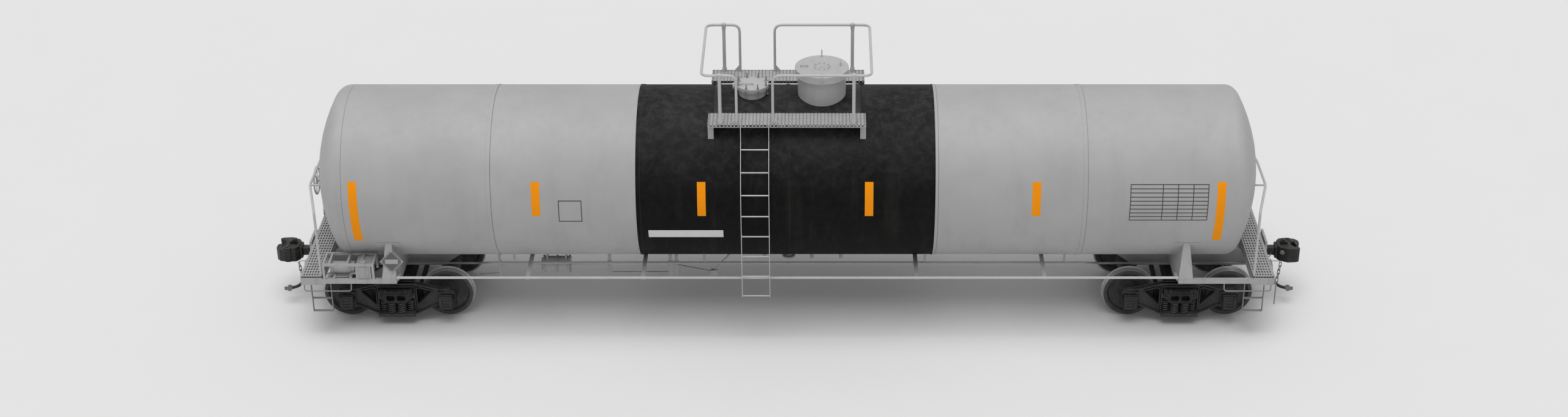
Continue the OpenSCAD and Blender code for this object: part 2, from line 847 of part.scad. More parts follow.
// Uncoupling levers across the ends, each from its left corner as seen from outside
module cut_levers() {
    z = up(1010);
    x = plat_out + 42;
    color("gray")
        for (s = [-1, 1])
            turned(s) {
                pipe([[x + 12, -side_y + 100, up(570)], [x + 12, -side_y + 100, z - 30],
                    [x, -side_y + 210, z], [x, -560, z], [x + 90, -400, z]], 24, 50, 3, [1, 0.1, 0]);
                box([plat_out, -side_y + 260, z - 22], [x + 16, -side_y + 285, z + 22]);
                box([plat_out, -640, z - 22], [x + 16, -615, z + 22]);
            }
}

// ---- Air hoses ----

hose_d = 54;
hose_route = [[8790, -350, 740], [8798, -350, 695], [8808, -350, 650], [8820, -350, 605],
    [8833, -350, 560], [8848, -350, 515], [8866, -350, 470], [8888, -350, 428], [8916, -350, 390],
    [8950, -350, 358], [8990, -350, 334], [9034, -350, 318], [9080, -350, 308]];

module air_hose(s) {
    color("dimgray")
        at_end(s)
            sweep(hose_route, hose_d / 2, 12, [0, 1, 0]);
}

// Hose coupling on the free end of a hose
module glad_hand(s) {
    tip = hose_route[len(hose_route) - 1];
    aim = unit(tip - hose_route[len(hose_route) - 2]);
    color("dimgray")
        at_end(s) {
            rod(tip, tip + aim * 60, 66);
            rod(tip + aim * 55 + [0, -28, 0], tip + aim * 55 + [0, 42, 0], 96);
            box(tip + aim * 60 + [0, -20, -30], tip + aim * 60 + [86, 12, 26]);
        }
}

// ---- Trucks ----

seat_low = up(190);
seat_top = up(226);
spring_top = up(430);
bolster_half = 222;
column = 236;
bearing_gap = 2;

frame_t = 110;
module side_frames(s) {
    t = frame_t;
    jaw = 42;
    br = bearing_d / 2 + bearing_gap;
    jaw_low = axle_h - flange_h + up(0) - 170;
    half = [[0, up(780)], [300, up(780)], [axle_x - 230, up(650)], [axle_x + br + jaw - 30, up(620)],
        [axle_x + br + jaw, up(590)], [axle_x + br + jaw, jaw_low], [axle_x + br, jaw_low],
        [axle_x + br, axle_h], [axle_x - br, axle_h], [axle_x - br, jaw_low],
        [axle_x - br - jaw - 10, jaw_low], [340, seat_low], [0, seat_low]];
    outline = concat(half, [for (i = [len(half) - 2:-1:1]) [-half[i][0], half[i][1]]]);
    color("dimgray")
        translate([s * truck_x, 0, 0])
            for (side = [-1, 1])
                at_side(side)
                    translate([0, frame_y, 0])
                        difference() {
                            union() {
                                translate([0, t / 2, 0])
                                    rotate([90, 0, 0])
                                        linear_extrude(t)
                                            difference() {
                                                polygon(outline);
                                                translate([-column, seat_top])
                                                    square([2 * column, up(650) - seat_top]);
                                                for (w = [-1, 1])
                                                    polygon([[w * 310, up(330)], [w * 310, up(640)],
                                                        [w * (axle_x - 250), up(560)], [w * (axle_x - 250), up(440)]]);
                                            }
                                for (w = [-1, 1])
                                    box([w * axle_x - br - 20, -95, axle_h + 60], [w * axle_x + br + 20, 95, up(612)]);
                                box([-column, -160, seat_low], [column, 160, seat_top]);
                            }
                            for (w = [-1, 1])
                                translate([w * axle_x, 200, axle_h])
                                    rotate([90, 0, 0])
                                        cylinder(d = bearing_d + 2 * seat, h = 400);
                        }
}

// Cross beam whose ends ride on the springs and whose bowl takes the centre plate
module truck_bolster(s) {
    bowl = centre_plate_d / 2;
    floor_z = sill_low - centre_drop;
    w = bolster_half;
    end_y = frame_y + 105;
    color("dimgray")
        translate([s * truck_x, 0, 0]) {
            rotate([90, 0, 90])
                translate([0, 0, -w + 40])
                    linear_extrude(2 * (w - 40))
                        polygon([[-760, spring_top], [-360, up(360)], [360, up(360)], [760, spring_top],
                            [760, up(640)], [260, floor_z], [-260, floor_z], [-760, up(640)]]);
            for (side = [-1, 1])
                at_side(side)
                    difference() {
                        box([-w, 700, spring_top], [w, end_y, up(640)]);
                        for (p = [-1, 1])
                            translate([p * 95, end_y - 60, up(535)])
                                rotate([-90, 0, 0])
                                    linear_extrude(100)
                                        square([130, 110], center = true);
                    }
            translate([0, 0, floor_z - 1])
                difference() {
                    cylinder(r = bowl + 34, h = 22, $fn = 64);
                    translate([0, 0, 1])
                        cylinder(r = bowl + run, h = 40, $fn = 64);
                }
        }
}

// Nests of coil springs, drawn as their outer cylinders
module springs(s) {
    d = 138;
    color("dimgray")
        translate([s * truck_x, 0, 0])
            for (side = [-1, 1])
                for (x = [-150, 0, 150])
                    for (y = [-82, 82])
                        translate([x, side * frame_y + y, seat_top])
                            cylinder(d = d, h = spring_top - seat_top);
}

// Brake beams with their heads and shoes beside the wheels
module brake_beams(s) {
    z = up(360);
    x_beam = axle_x - wheel_d / 2 - 105;
    shoe_y = wheel_back + 92;
    color("dimgray")
        translate([s * truck_x, 0, 0])
            for (w = [-1, 1])
                at_end(w) {
                    box([x_beam - 35, -frame_y + frame_t / 2 + seat, z - 35],
                        [x_beam + 35, frame_y - frame_t / 2 - seat, z + 35]);
                    for (side = [-1, 1])
                        difference() {
                            box([x_beam, side * shoe_y - 45, z - 110], [axle_x - 300, side * shoe_y + 45, z + 170]);
                            translate([axle_x, side * shoe_y + 80, axle_h])
                                rotate([90, 0, 0])
                                    cylinder(r = wheel_d / 2 + 8, h = 160, $fn = 64);
                        }
                }
}

// Axle with its roller bearing cartridges and end caps
module axle(i) {
    br = bearing_d / 2;
    hub_in = wheel_back - 25;
    face = wheel_back + rim_w;
    half = [[90, 0], [90, hub_in - 60], [105, hub_in - 20], [105, face + 40], [82, face + 60],
        [82, frame_y - 92], [br, frame_y - 86], [br, frame_y + 86], [100, frame_y + 92], [100, frame_y + 128],
        [0, frame_y + 128]];
    outline = concat([[0, -frame_y - 128]], [for (k = [len(half) - 2:-1:1]) [half[k][0], -half[k][1]]],
        [for (p = half) if (p[1] > 0) p]);
    color("dimgray")
        translate([wheelset_x(i), 0, axle_h])
            rotate([-90, 0, 0])
                rotate_extrude($fn = 64)
                    polygon(outline);
}
function wheelset_x(i) = (i <= 2 ? truck_x : -truck_x) + (i % 2 == 1 ? axle_x : -axle_x);

// Pair of solid steel wheels with flanges
module wheels(i) {
    r = wheel_d / 2;
    profile = [[105 + seat, -26], [150, -26], [165, 0], [r - 110, 44], [r - 75, 4], [r - 70, 0],
        [r + flange_h - 12, 0], [r + flange_h, 10], [r + flange_h, 18], [r + 6, 34], [r + 3, 46],
        [r - 4, rim_w - 4], [r - 8, rim_w], [r - 66, rim_w], [r - 74, rim_w - 10], [r - 100, 72],
        [180, 36], [165, 60], [150, rim_w - 8], [105 + seat, rim_w - 8]];
    color("gray")
        translate([wheelset_x(i), 0, axle_h])
            for (side = [-1, 1])
                at_side(side)
                    translate([0, wheel_back, 0])
                        rotate([-90, 0, 0])
                            rotate_extrude($fn = 96)
                                polygon(profile);
}

// ---- Couplers ----

// Children as drawn for the A end (s = 1) or turned round to the B end (s = -1)
module turned(s) {
    rotate([0, 0, s > 0 ? 0 : 180])
        children();
}

coupler_z = up(coupler_h);
head_back = striker_x + 80;
head_half = 140;             // half the height of the coupler head
knuckle_half = 118;
knuckle_seat = [[400, 75], [330, 100], [300, 190]];
knuckle_pin = [374, 142];    // place and diameter of the knuckle pin, from the back of the head
knuckle_pin_d = 42;

// Shank, head with its guard arm, lugs over and under the knuckle, and knuckle pin
module coupler(s) {
    head = concat([[0, -105], [90, -190], [330, -235], [500, -215], [545, -180], [530, -140], [450, -120],
        [400, -60], [395, 40]], knuckle_seat, [[90, 180], [0, 105]]);
    lug = [[300, 80], [400, 70], [430, 110], [430, 180], [390, 214], [300, 205]];
    color("dimgray")
        turned(s)
            difference() {
                union() {
                    box([pin_x - 95, -62, coupler_z - 78], [head_back + 30, 62, coupler_z + 78]);
                    translate([pin_x, 0, coupler_z - 78])
                        cylinder(d = 200, h = 156);
                    translate([head_back, 0, coupler_z - head_half])
                        linear_extrude(2 * head_half)
                            polygon(head);
                    for (z = [coupler_z - head_half, coupler_z + knuckle_half + seat])
                        translate([head_back, 0, z])
                            linear_extrude(head_half - knuckle_half - seat)
                                polygon(lug);
                    translate([head_back + knuckle_pin[0], knuckle_pin[1], coupler_z - head_half - 14])
                        cylinder(d = knuckle_pin_d, h = 2 * head_half + 28);
                }
                translate([pin_x, 0, coupler_z - 120])
                    cylinder(d = coupler_pin_d + 2 * run, h = 240);
            }
}

// Knuckle, locked shut on its pin
module knuckle(s) {
    tip = nose_x - head_back;
    shape = concat([[302, 196]], [for (i = [2:-1:0]) knuckle_seat[i] + [seat, seat]],
        [[440, 60], [452, 100], [476, 96], [482, 20], [500, -20],
        [tip - 20, -10], [tip, 30], [tip, 130], [tip - 60, 200], [tip - 160, 225]]);
    color("dimgray")
        turned(s)
            difference() {
                translate([head_back, 0, coupler_z - knuckle_half])
                    linear_extrude(2 * knuckle_half)
                        polygon(shape);
                translate([head_back + knuckle_pin[0], knuckle_pin[1], coupler_z - head_half])
                    cylinder(d = knuckle_pin_d + 2 * seat, h = 2 * head_half);
            }
}

tank_jacket();
tank_head(1);  // tank_head_a
tank_head(-1);  // tank_head_b
stub_sill(1);  // stub_sill_a
stub_sill(-1);  // stub_sill_b
body_bolster(1);  // body_bolster_a
body_bolster(-1);  // body_bolster_b
side_sills();
end_beam(1);  // end_beam_a
end_beam(-1);  // end_beam_b
gratings();
walkway_saddles();
end_handrail(1);  // end_handrail_a
end_handrail(-1);  // end_handrail_b
side_handrails();
tank_brackets();
corner_steps(1);  // corner_steps_a
corner_steps(-1);  // corner_steps_b
ladder(1);  // ladder_left
ladder(-1);  // ladder_right
ladder_rungs();
top_handrail(1);  // top_handrail_a
top_handrail(-1);  // top_handrail_b
manway_nozzle();
manway_cover();
manway_bolts();
valve_housing();
housing_lid();
housing_fittings();
bottom_outlet();
train_line();
brake_cylinder();
brake_rods();
brake_rack();
hand_brake();
cut_levers();
air_hose(1);  // air_hose_a
air_hose(-1);  // air_hose_b
glad_hand(1);  // glad_hand_a
glad_hand(-1);  // glad_hand_b
side_frames(1);  // side_frames_a
truck_bolster(1);  // truck_bolster_a
springs(1);  // springs_a
brake_beams(1);  // brake_beams_a
side_frames(-1);  // side_frames_b
truck_bolster(-1);  // truck_bolster_b
springs(-1);  // springs_b
brake_beams(-1);  // brake_beams_b
axle(1);  // axle_1
axle(2);  // axle_2
axle(3);  // axle_3
axle(4);  // axle_4
wheels(1);  // wheels_1
wheels(2);  // wheels_2
wheels(3);  // wheels_3
wheels(4);  // wheels_4
coupler(1);  // coupler_a
coupler(-1);  // coupler_b
knuckle(1);  // knuckle_a
knuckle(-1);  // knuckle_b
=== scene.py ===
import math

import bmesh
import bpy
from mathutils import Matrix, Vector


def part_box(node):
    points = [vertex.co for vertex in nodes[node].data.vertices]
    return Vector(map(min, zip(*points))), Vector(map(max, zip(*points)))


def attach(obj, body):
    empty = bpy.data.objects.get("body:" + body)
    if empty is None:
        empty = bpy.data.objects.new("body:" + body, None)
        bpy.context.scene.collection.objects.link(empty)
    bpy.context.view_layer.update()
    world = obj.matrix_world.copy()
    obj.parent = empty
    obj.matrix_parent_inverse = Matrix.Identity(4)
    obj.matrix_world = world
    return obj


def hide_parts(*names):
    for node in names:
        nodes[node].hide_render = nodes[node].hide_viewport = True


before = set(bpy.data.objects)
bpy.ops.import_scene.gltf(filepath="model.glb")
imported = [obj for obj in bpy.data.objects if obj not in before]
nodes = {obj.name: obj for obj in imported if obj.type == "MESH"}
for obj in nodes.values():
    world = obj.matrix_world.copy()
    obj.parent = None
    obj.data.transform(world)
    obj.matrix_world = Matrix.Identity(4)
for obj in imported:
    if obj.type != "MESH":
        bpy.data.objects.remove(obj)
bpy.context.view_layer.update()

# ---- Places, most read from the CAD model ----

jacket_low, jacket_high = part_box("tank_jacket")
TANK_R = (jacket_high.y - jacket_low.y) / 2 - 0.006      # the lap bands stand 6 mm proud
AXIS_Z = (jacket_high.z + jacket_low.z) / 2
SEAM_X = jacket_high.x
TANK_TOP = AXIS_Z + TANK_R
COURSES = 6
COURSE = 2 * SEAM_X / COURSES                            # length of one course of the jacket
LAP_HALF = 0.035
BAND_X, BAND_SHIFT = 2.6, 0.025                          # the black band's half length, and how far it sits to -X
PLAT_LOW, PLAT_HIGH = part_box("end_beam_a")
PLAT_X, PLAT_OUT, SIDE_Y, PLAT_TOP = PLAT_LOW.x, PLAT_HIGH.x, PLAT_HIGH.y, PLAT_HIGH.z
WALK_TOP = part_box("gratings")[1].z
WHEEL_XS = [(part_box(f"wheels_{i}")[0].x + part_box(f"wheels_{i}")[1].x) / 2 for i in range(1, 5)]
AXLE_Z = (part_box("wheels_1")[0].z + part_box("wheels_1")[1].z) / 2
TRUCK_X = (WHEEL_XS[0] + WHEEL_XS[1]) / 2
AXLE_X = abs(WHEEL_XS[0] - WHEEL_XS[1]) / 2
FLOOR = 0.0
ENDS = (("a", 1), ("b", -1))
SIDES = (("left", 1), ("right", -1))


# ---- Camera, light and floor ----

scene = bpy.context.scene
scene.view_settings.view_transform = "Standard"

camera_data = bpy.data.cameras.new("camera")
camera_data.sensor_width = 36
camera_data.lens = 52.39
camera_data.shift_x = -0.0234
camera_data.shift_y = -0.0146
camera_data.clip_end = 500
camera = bpy.data.objects.new("camera", camera_data)
camera.location = (0.585, -36.236, 21.759)
camera.rotation_euler = (math.radians(61.685), 0, 0)
scene.collection.objects.link(camera)
scene.camera = camera

world = bpy.data.worlds.new("studio")
scene.world = world
world.use_nodes = True
world.node_tree.nodes["Background"].inputs["Color"].default_value = (1, 1, 1, 1)
world.node_tree.nodes["Background"].inputs["Strength"].default_value = 0.45

sun_data = bpy.data.lights.new("key", "SUN")
sun_data.energy = 1.76
sun_data.angle = math.radians(50)
sun = bpy.data.objects.new("key", sun_data)
sun.rotation_euler = (math.radians(10), math.radians(-2), 0)
scene.collection.objects.link(sun)


# ---- Materials ----

class Nodes:
    """Short names for the nodes of one material."""

    def __init__(self, name):
        self.material = bpy.data.materials.new(name)
        self.material.use_nodes = True
        self.tree = self.material.node_tree
        self.shader = self.tree.nodes["Principled BSDF"]
        coordinates = self.tree.nodes.new("ShaderNodeTexCoord")
        self.point = coordinates.outputs["Object"]

    def link(self, a, b):
        self.tree.links.new(a, b)

    def noise(self, scale, detail=4.0, roughness=0.6, stretch=None):
        node = self.tree.nodes.new("ShaderNodeTexNoise")
        node.inputs["Scale"].default_value = scale
        node.inputs["Detail"].default_value = detail
        node.inputs["Roughness"].default_value = roughness
        source = self.point
        if stretch:
            mapping = self.tree.nodes.new("ShaderNodeMapping")
            mapping.inputs["Scale"].default_value = stretch
            self.link(source, mapping.inputs["Vector"])
            source = mapping.outputs["Vector"]
        self.link(source, node.inputs["Vector"])
        return node.outputs["Fac"]

    def math(self, operation, a, b=None, clamp=False):
        node = self.tree.nodes.new("ShaderNodeMath")
        node.operation = operation
        node.use_clamp = clamp
        for socket, value in zip(node.inputs, (a, b)):
            if value is None:
                continue
            if isinstance(value, (int, float)):
                socket.default_value = value
            else:
                self.link(value, socket)
        return node.outputs[0]

    def span(self, value, low, high, to_low=0.0, to_high=1.0):
        node = self.tree.nodes.new("ShaderNodeMapRange")
        node.clamp = True
        for name, number in (("From Min", low), ("From Max", high), ("To Min", to_low), ("To Max", to_high)):
            node.inputs[name].default_value = number
        self.link(value, node.inputs["Value"])
        return node.outputs["Result"]

    def mix(self, factor, a, b):
        node = self.tree.nodes.new("ShaderNodeMix")
        node.data_type = "RGBA"
        sockets = {s.identifier: s for s in node.inputs}
        for key, value in (("Factor_Float", factor), ("A_Color", a), ("B_Color", b)):
            socket = sockets[key]
            if isinstance(value, (int, float)):
                socket.default_value = value
            elif isinstance(value, tuple):
                socket.default_value = (*value, 1)
            else:
                self.link(value, socket)
        return {s.identifier: s for s in node.outputs}["Result_Color"]

    def bump(self, height, strength, distance, below=None):
        node = self.tree.nodes.new("ShaderNodeBump")
        node.inputs["Strength"].default_value = strength
        node.inputs["Distance"].default_value = distance
        self.link(height, node.inputs["Height"])
        if below:
            self.link(below, node.inputs["Normal"])
        return node.outputs["Normal"]

    def xyz(self):
        node = self.tree.nodes.new("ShaderNodeSeparateXYZ")
        self.link(self.point, node.inputs[0])
        return node.outputs


def grey(value):
    return (value, value, value)


def mul(colour, k):
    return tuple(c * k for c in colour)


def paint(name, colour, rough=0.45, dirt=0.2, dirt_colour=(0.13, 0.115, 0.1), bump=0.12, grain=160.0, metal=0.0):
    """Paint with faint blotches, grime in streaks that run down, and an orange-peel surface."""
    n = Nodes(name)
    blotch = n.noise(1.7, 5)
    fine = n.noise(24, 4, 0.65)
    runs = n.noise(2.2, 5, 0.7, (3.5, 3.5, 0.35))
    base = n.mix(n.span(blotch, 0.35, 0.65), mul(colour, 0.93), mul(colour, 1.05))
    base = n.mix(n.span(fine, 0.3, 0.7), base, mul(colour, 0.97))
    darkening = n.math("MULTIPLY", n.span(runs, 0.48, 0.78), dirt)
    base = n.mix(darkening, base, dirt_colour)
    n.link(base, n.shader.inputs["Base Color"])
    n.link(n.span(fine, 0.25, 0.75, rough - 0.06, rough + 0.1), n.shader.inputs["Roughness"])
    n.shader.inputs["Metallic"].default_value = metal
    peel = n.noise(grain, 2)
    n.link(n.bump(peel, bump, 0.002), n.shader.inputs["Normal"])
    return n.material


def cast_steel(name, colour, rough=0.62, rust=0.35, rust_colour=(0.075, 0.05, 0.036)):
    """Dark casting or forging: pitted skin, dust on what faces up, a little rust."""
    n = Nodes(name)
    blotch = n.noise(5.5, 6, 0.65)
    pits = n.noise(90, 5, 0.7)
    base = n.mix(n.span(blotch, 0.35, 0.68), mul(colour, 0.75), mul(colour, 1.3))
    base = n.mix(n.math("MULTIPLY", n.span(n.noise(11, 6, 0.7), 0.52, 0.72), rust), base, rust_colour)
    geometry = n.tree.nodes.new("ShaderNodeNewGeometry")
    split = n.tree.nodes.new("ShaderNodeSeparateXYZ")
    n.link(geometry.outputs["Normal"], split.inputs[0])
    dust = n.math("MULTIPLY", n.span(split.outputs[2], 0.2, 1.0), n.span(blotch, 0.3, 0.7, 0.1, 0.32))
    base = n.mix(dust, base, (0.16, 0.15, 0.14))
    n.link(base, n.shader.inputs["Base Color"])
    n.link(n.span(pits, 0.3, 0.7, rough - 0.12, rough + 0.12), n.shader.inputs["Roughness"])
    n.shader.inputs["Metallic"].default_value = 0.25
    n.link(n.bump(pits, 0.35, 0.003), n.shader.inputs["Normal"])
    return n.material


GREY = grey(0.42)
SEAM_DARK, SEAM_LINE = 0.55, 0.003     # how dark the line at a lap's edge is, and its half width


def tank_paint(name, band):
    """Jacket paint: light grey on thin sheet that is never quite flat, and for the jacket itself the black
    centre band and a thin dark line along one edge of each lap."""
    n = Nodes(name)
    x, _, z = n.xyz()
    blotch = n.noise(0.9, 6, 0.62)
    runs = n.noise(1.3, 6, 0.7, (2.6, 1.2, 0.3))
    scuff = n.noise(7, 6, 0.75)
    colour = n.mix(n.span(blotch, 0.35, 0.68), mul(GREY, 0.94), mul(GREY, 1.04))
    if band:
        inside = n.math("LESS_THAN", n.math("ABSOLUTE", n.math("ADD", x, BAND_SHIFT)), BAND_X)
        black = n.mix(n.span(scuff, 0.4, 0.72), grey(0.005), grey(0.011))
        # Painted light: the black band turns lighter, in blotches, towards the top of the tank.
        painted_top_light = n.math("MULTIPLY", n.span(z, TANK_TOP - 1.3, TANK_TOP - 0.1),
                          n.span(blotch, 0.36, 0.64, 0.15, 0.75))
        black = n.mix(painted_top_light, black, grey(0.034))
        n.link(n.math("SUBTRACT", 0.5, n.math("MULTIPLY", inside, 0.42)), n.shader.inputs["Specular IOR Level"])
        colour = n.mix(inside, colour, black)
        turns = n.math("FRACT", n.math("ADD", n.math("DIVIDE", x, COURSE), 0.5))
        offset = n.math("MULTIPLY", n.math("SUBTRACT", turns, 0.5), COURSE)
        edge = n.math("ABSOLUTE", n.math("SUBTRACT", offset, LAP_HALF + SEAM_LINE))
        colour = n.mix(n.span(edge, SEAM_LINE, 2 * SEAM_LINE, SEAM_DARK, 0.0), colour, grey(0.05))
    top_dust = n.math("MULTIPLY", n.span(z, TANK_TOP - 1.2, TANK_TOP), n.span(scuff, 0.45, 0.75, 0.0, 0.12))
    colour = n.mix(top_dust, colour, grey(0.30))
    darkening = n.math("MULTIPLY", n.span(runs, 0.5, 0.8), n.span(z, AXIS_Z - TANK_R, TANK_TOP, 0.2, 0.06))
    colour = n.mix(darkening, colour, (0.11, 0.1, 0.09))
    n.link(colour, n.shader.inputs["Base Color"])
    n.link(n.span(scuff, 0.3, 0.7, 0.5, 0.64), n.shader.inputs["Roughness"])
    waves = n.noise(1.1, 2, 0.5, (1.0, 0.8, 0.8))
    peel = n.noise(140, 2)
    n.link(n.bump(peel, 0.07, 0.002, n.bump(waves, 0.16, 0.03)), n.shader.inputs["Normal"])
    return n.material


def grating_paint(name):
    """Painted grating, worn clean where feet touch it, with painted shade down in its openings."""
    n = Nodes(name)
    _, y, z = n.xyz()
    wear = n.noise(5, 5, 0.65)
    fine = n.noise(60, 4, 0.65)
    colour = n.mix(n.span(wear, 0.35, 0.65), mul(GREY, 0.84), mul(GREY, 1.0))
    # Painted shade: below the top few millimetres the bars go dark so the openings look shaded; on the walkways all
    # but the outer edge bar, three quarters as strongly.
    platform_opening_shade = n.math("MULTIPLY", n.math("LESS_THAN", z, 2.0),
                     n.span(z, PLAT_TOP - 0.009, PLAT_TOP - 0.003, 1.0, 0.0))
    walk = n.math("MULTIPLY", n.math("GREATER_THAN", z, 2.0),
                  n.span(z, WALK_TOP - 0.009, WALK_TOP - 0.003, 1.0, 0.0))
    inside = n.span(n.math("ABSOLUTE", y), 1.106, 1.109, 1.0, 0.0)
    darkening = n.math("ADD", platform_opening_shade, n.math("MULTIPLY", n.math("MULTIPLY", walk, inside), 0.75), clamp=True)
    n.link(n.mix(n.math("MULTIPLY", darkening, 0.85), colour, grey(0.09)), n.shader.inputs["Base Color"])
    n.link(n.span(fine, 0.3, 0.7, 0.42, 0.6), n.shader.inputs["Roughness"])
    n.link(n.bump(fine, 0.2, 0.002), n.shader.inputs["Normal"])
    return n.material


def rubber(name):
    n = Nodes(name)
    cloth = n.noise(320, 3)
    dust = n.noise(9, 5)
    n.link(n.mix(n.span(dust, 0.4, 0.7), grey(0.012), grey(0.028)), n.shader.inputs["Base Color"])
    n.link(n.span(cloth, 0.3, 0.7, 0.62, 0.8), n.shader.inputs["Roughness"])
    n.link(n.bump(cloth, 0.3, 0.001), n.shader.inputs["Normal"])
    return n.material


TREAD_R, TREAD_Y = 0.449, 0.812        # where the rubbed tread starts, from the axle and from the car's middle


def wheel_steel(name):
    """Wheel steel: dark and dusty on plate and hub, rubbed bright on the tread and flange."""
    n = Nodes(name)
    x, y, z = n.xyz()
    across = n.math("ABSOLUTE", y)
    blotch = n.noise(6, 6, 0.65)
    colour = n.mix(n.span(blotch, 0.35, 0.68), grey(0.032), grey(0.066))
    rub = n.span(across, TREAD_Y, TREAD_Y + 0.010, 1.0, 0.0)
    rings = []
    for wheel_x in WHEEL_XS:
        dx = n.math("SUBTRACT", x, wheel_x)
        dz = n.math("SUBTRACT", z, AXLE_Z)
        rings.append(n.math("SQRT", n.math("ADD", n.math("MULTIPLY", dx, dx), n.math("MULTIPLY", dz, dz))))
    radius = rings[0]
    for ring in rings[1:]:
        radius = n.math("MINIMUM", radius, ring)
    tread = n.math("MULTIPLY", n.span(radius, TREAD_R, TREAD_R + 0.003), rub)
    bright = n.mix(n.span(n.noise(30, 4), 0.3, 0.7), grey(0.36), grey(0.48))
    n.link(n.mix(tread, colour, bright), n.shader.inputs["Base Color"])
    n.link(n.math("MULTIPLY", tread, 0.35), n.shader.inputs["Metallic"])
    fine = n.noise(60, 4)
    n.link(n.mix(tread, n.span(fine, 0.3, 0.7, 0.5, 0.72), n.span(fine, 0.3, 0.7, 0.28, 0.42)),
           n.shader.inputs["Roughness"])
    n.link(n.bump(fine, 0.15, 0.002), n.shader.inputs["Normal"])
    return n.material


m_jacket = tank_paint("jacket", True)
m_head = tank_paint("head", False)
m_frame = paint("frame_paint", GREY, dirt=0.3)
m_rail = paint("rail_paint", mul(GREY, 1.26), dirt=0.12)
m_fitting = paint("fitting_paint", mul(GREY, 1.15), dirt=0.15)
m_grating = grating_paint("grating_paint")
m_pipe = paint("pipe_paint", mul(GREY, 0.9), dirt=0.3)
m_bolt = paint("bolt_zinc", grey(0.36), rough=0.35, dirt=0.2, metal=0.6)
m_valve = paint("valve_metal", (0.34, 0.31, 0.27), rough=0.35, metal=0.7)
m_truck = cast_steel("truck_casting", grey(0.024))
m_spring = cast_steel("spring_steel", grey(0.06), rough=0.38, rust=0.15)
m_axle = cast_steel("axle_steel", grey(0.035), rough=0.5)
m_wheel = wheel_steel("wheel_steel")
m_coupler = cast_steel("coupler_casting", grey(0.018), rough=0.5, rust=0.3)
m_knuckle = cast_steel("knuckle_casting", grey(0.022), rough=0.45, rust=0.3)
m_hose = rubber("hose_rubber")
m_glad = paint("glad_hand_iron", grey(0.2), rough=0.45, metal=0.5)
m_orange = paint("stripe_orange", (1.0, 0.33, 0.006), rough=0.6, dirt=0.0, bump=0.05)
m_orange.node_tree.nodes["Principled BSDF"].inputs["Specular IOR Level"].default_value = 0.08
m_white = paint("plate_white", grey(0.72), rough=0.4, dirt=0.05, bump=0.03)
m_placard = paint("placard_grey", grey(0.115), rough=0.4, dirt=0.05, bump=0.03)
m_pale = paint("placard_pale", grey(0.4), rough=0.4, dirt=0.05, bump=0.03)
# The grey paint at 0.6 of its brightness for the corner steps and cut levers: painted shade, as they hang in shadow.
m_shaded_step = paint("step_paint_shaded", mul(GREY, 0.6), dirt=0.2)
m_line = paint("line_black", grey(0.03), rough=0.5, dirt=0.05, bump=0.03)
# Near-black paint for the walkway saddles, the straps over the tank at the walkways' ends; their black is partly
# painted shade, standing for the dark strips there.
m_black_saddle_shade = paint("saddle_black_shaded", grey(0.006), rough=0.5, dirt=0.2)

MATERIAL_OF = {
    "tank_jacket": m_jacket, "tank_head_a": m_head, "tank_head_b": m_head,
    "stub_sill_a": m_frame, "stub_sill_b": m_frame, "gratings": m_grating, "walkway_saddles": m_black_saddle_shade,
    "manway_nozzle": m_fitting, "manway_cover": m_fitting, "manway_bolts": m_bolt,
    "valve_housing": m_fitting, "housing_lid": m_fitting, "housing_fittings": m_valve,
    "bottom_outlet": m_pipe, "train_line": m_pipe, "brake_cylinder": m_pipe, "brake_rods": m_pipe,
    "hand_brake": m_frame, "cut_levers": m_shaded_step, "brake_rack": m_frame,
}
MATERIAL_OF_KIND = (
    ("side_frames", m_truck), ("truck_bolster", m_truck), ("brake_beams", m_truck), ("springs", m_spring),
    ("axle", m_axle), ("wheels", m_wheel), ("coupler", m_coupler), ("knuckle", m_knuckle),
    ("air_hose", m_hose), ("glad_hand", m_glad), ("corner_steps", m_shaded_step), ("end_handrail", m_rail),
    ("side_handrails", m_rail), ("top_handrail", m_rail), ("ladder", m_rail),
)
for name, node in nodes.items():
    material = MATERIAL_OF.get(name)
    if material is None:
        material = next((m for start, m in MATERIAL_OF_KIND if name.startswith(start)), m_frame)
    node.data.materials.clear()
    node.data.materials.append(material)


# ---- Mesh tools ----

SHARP = 0.5                            # an edge that turns more than this, in radians, gets its bevel
ROUND = 0.6                            # roundness of a bevel

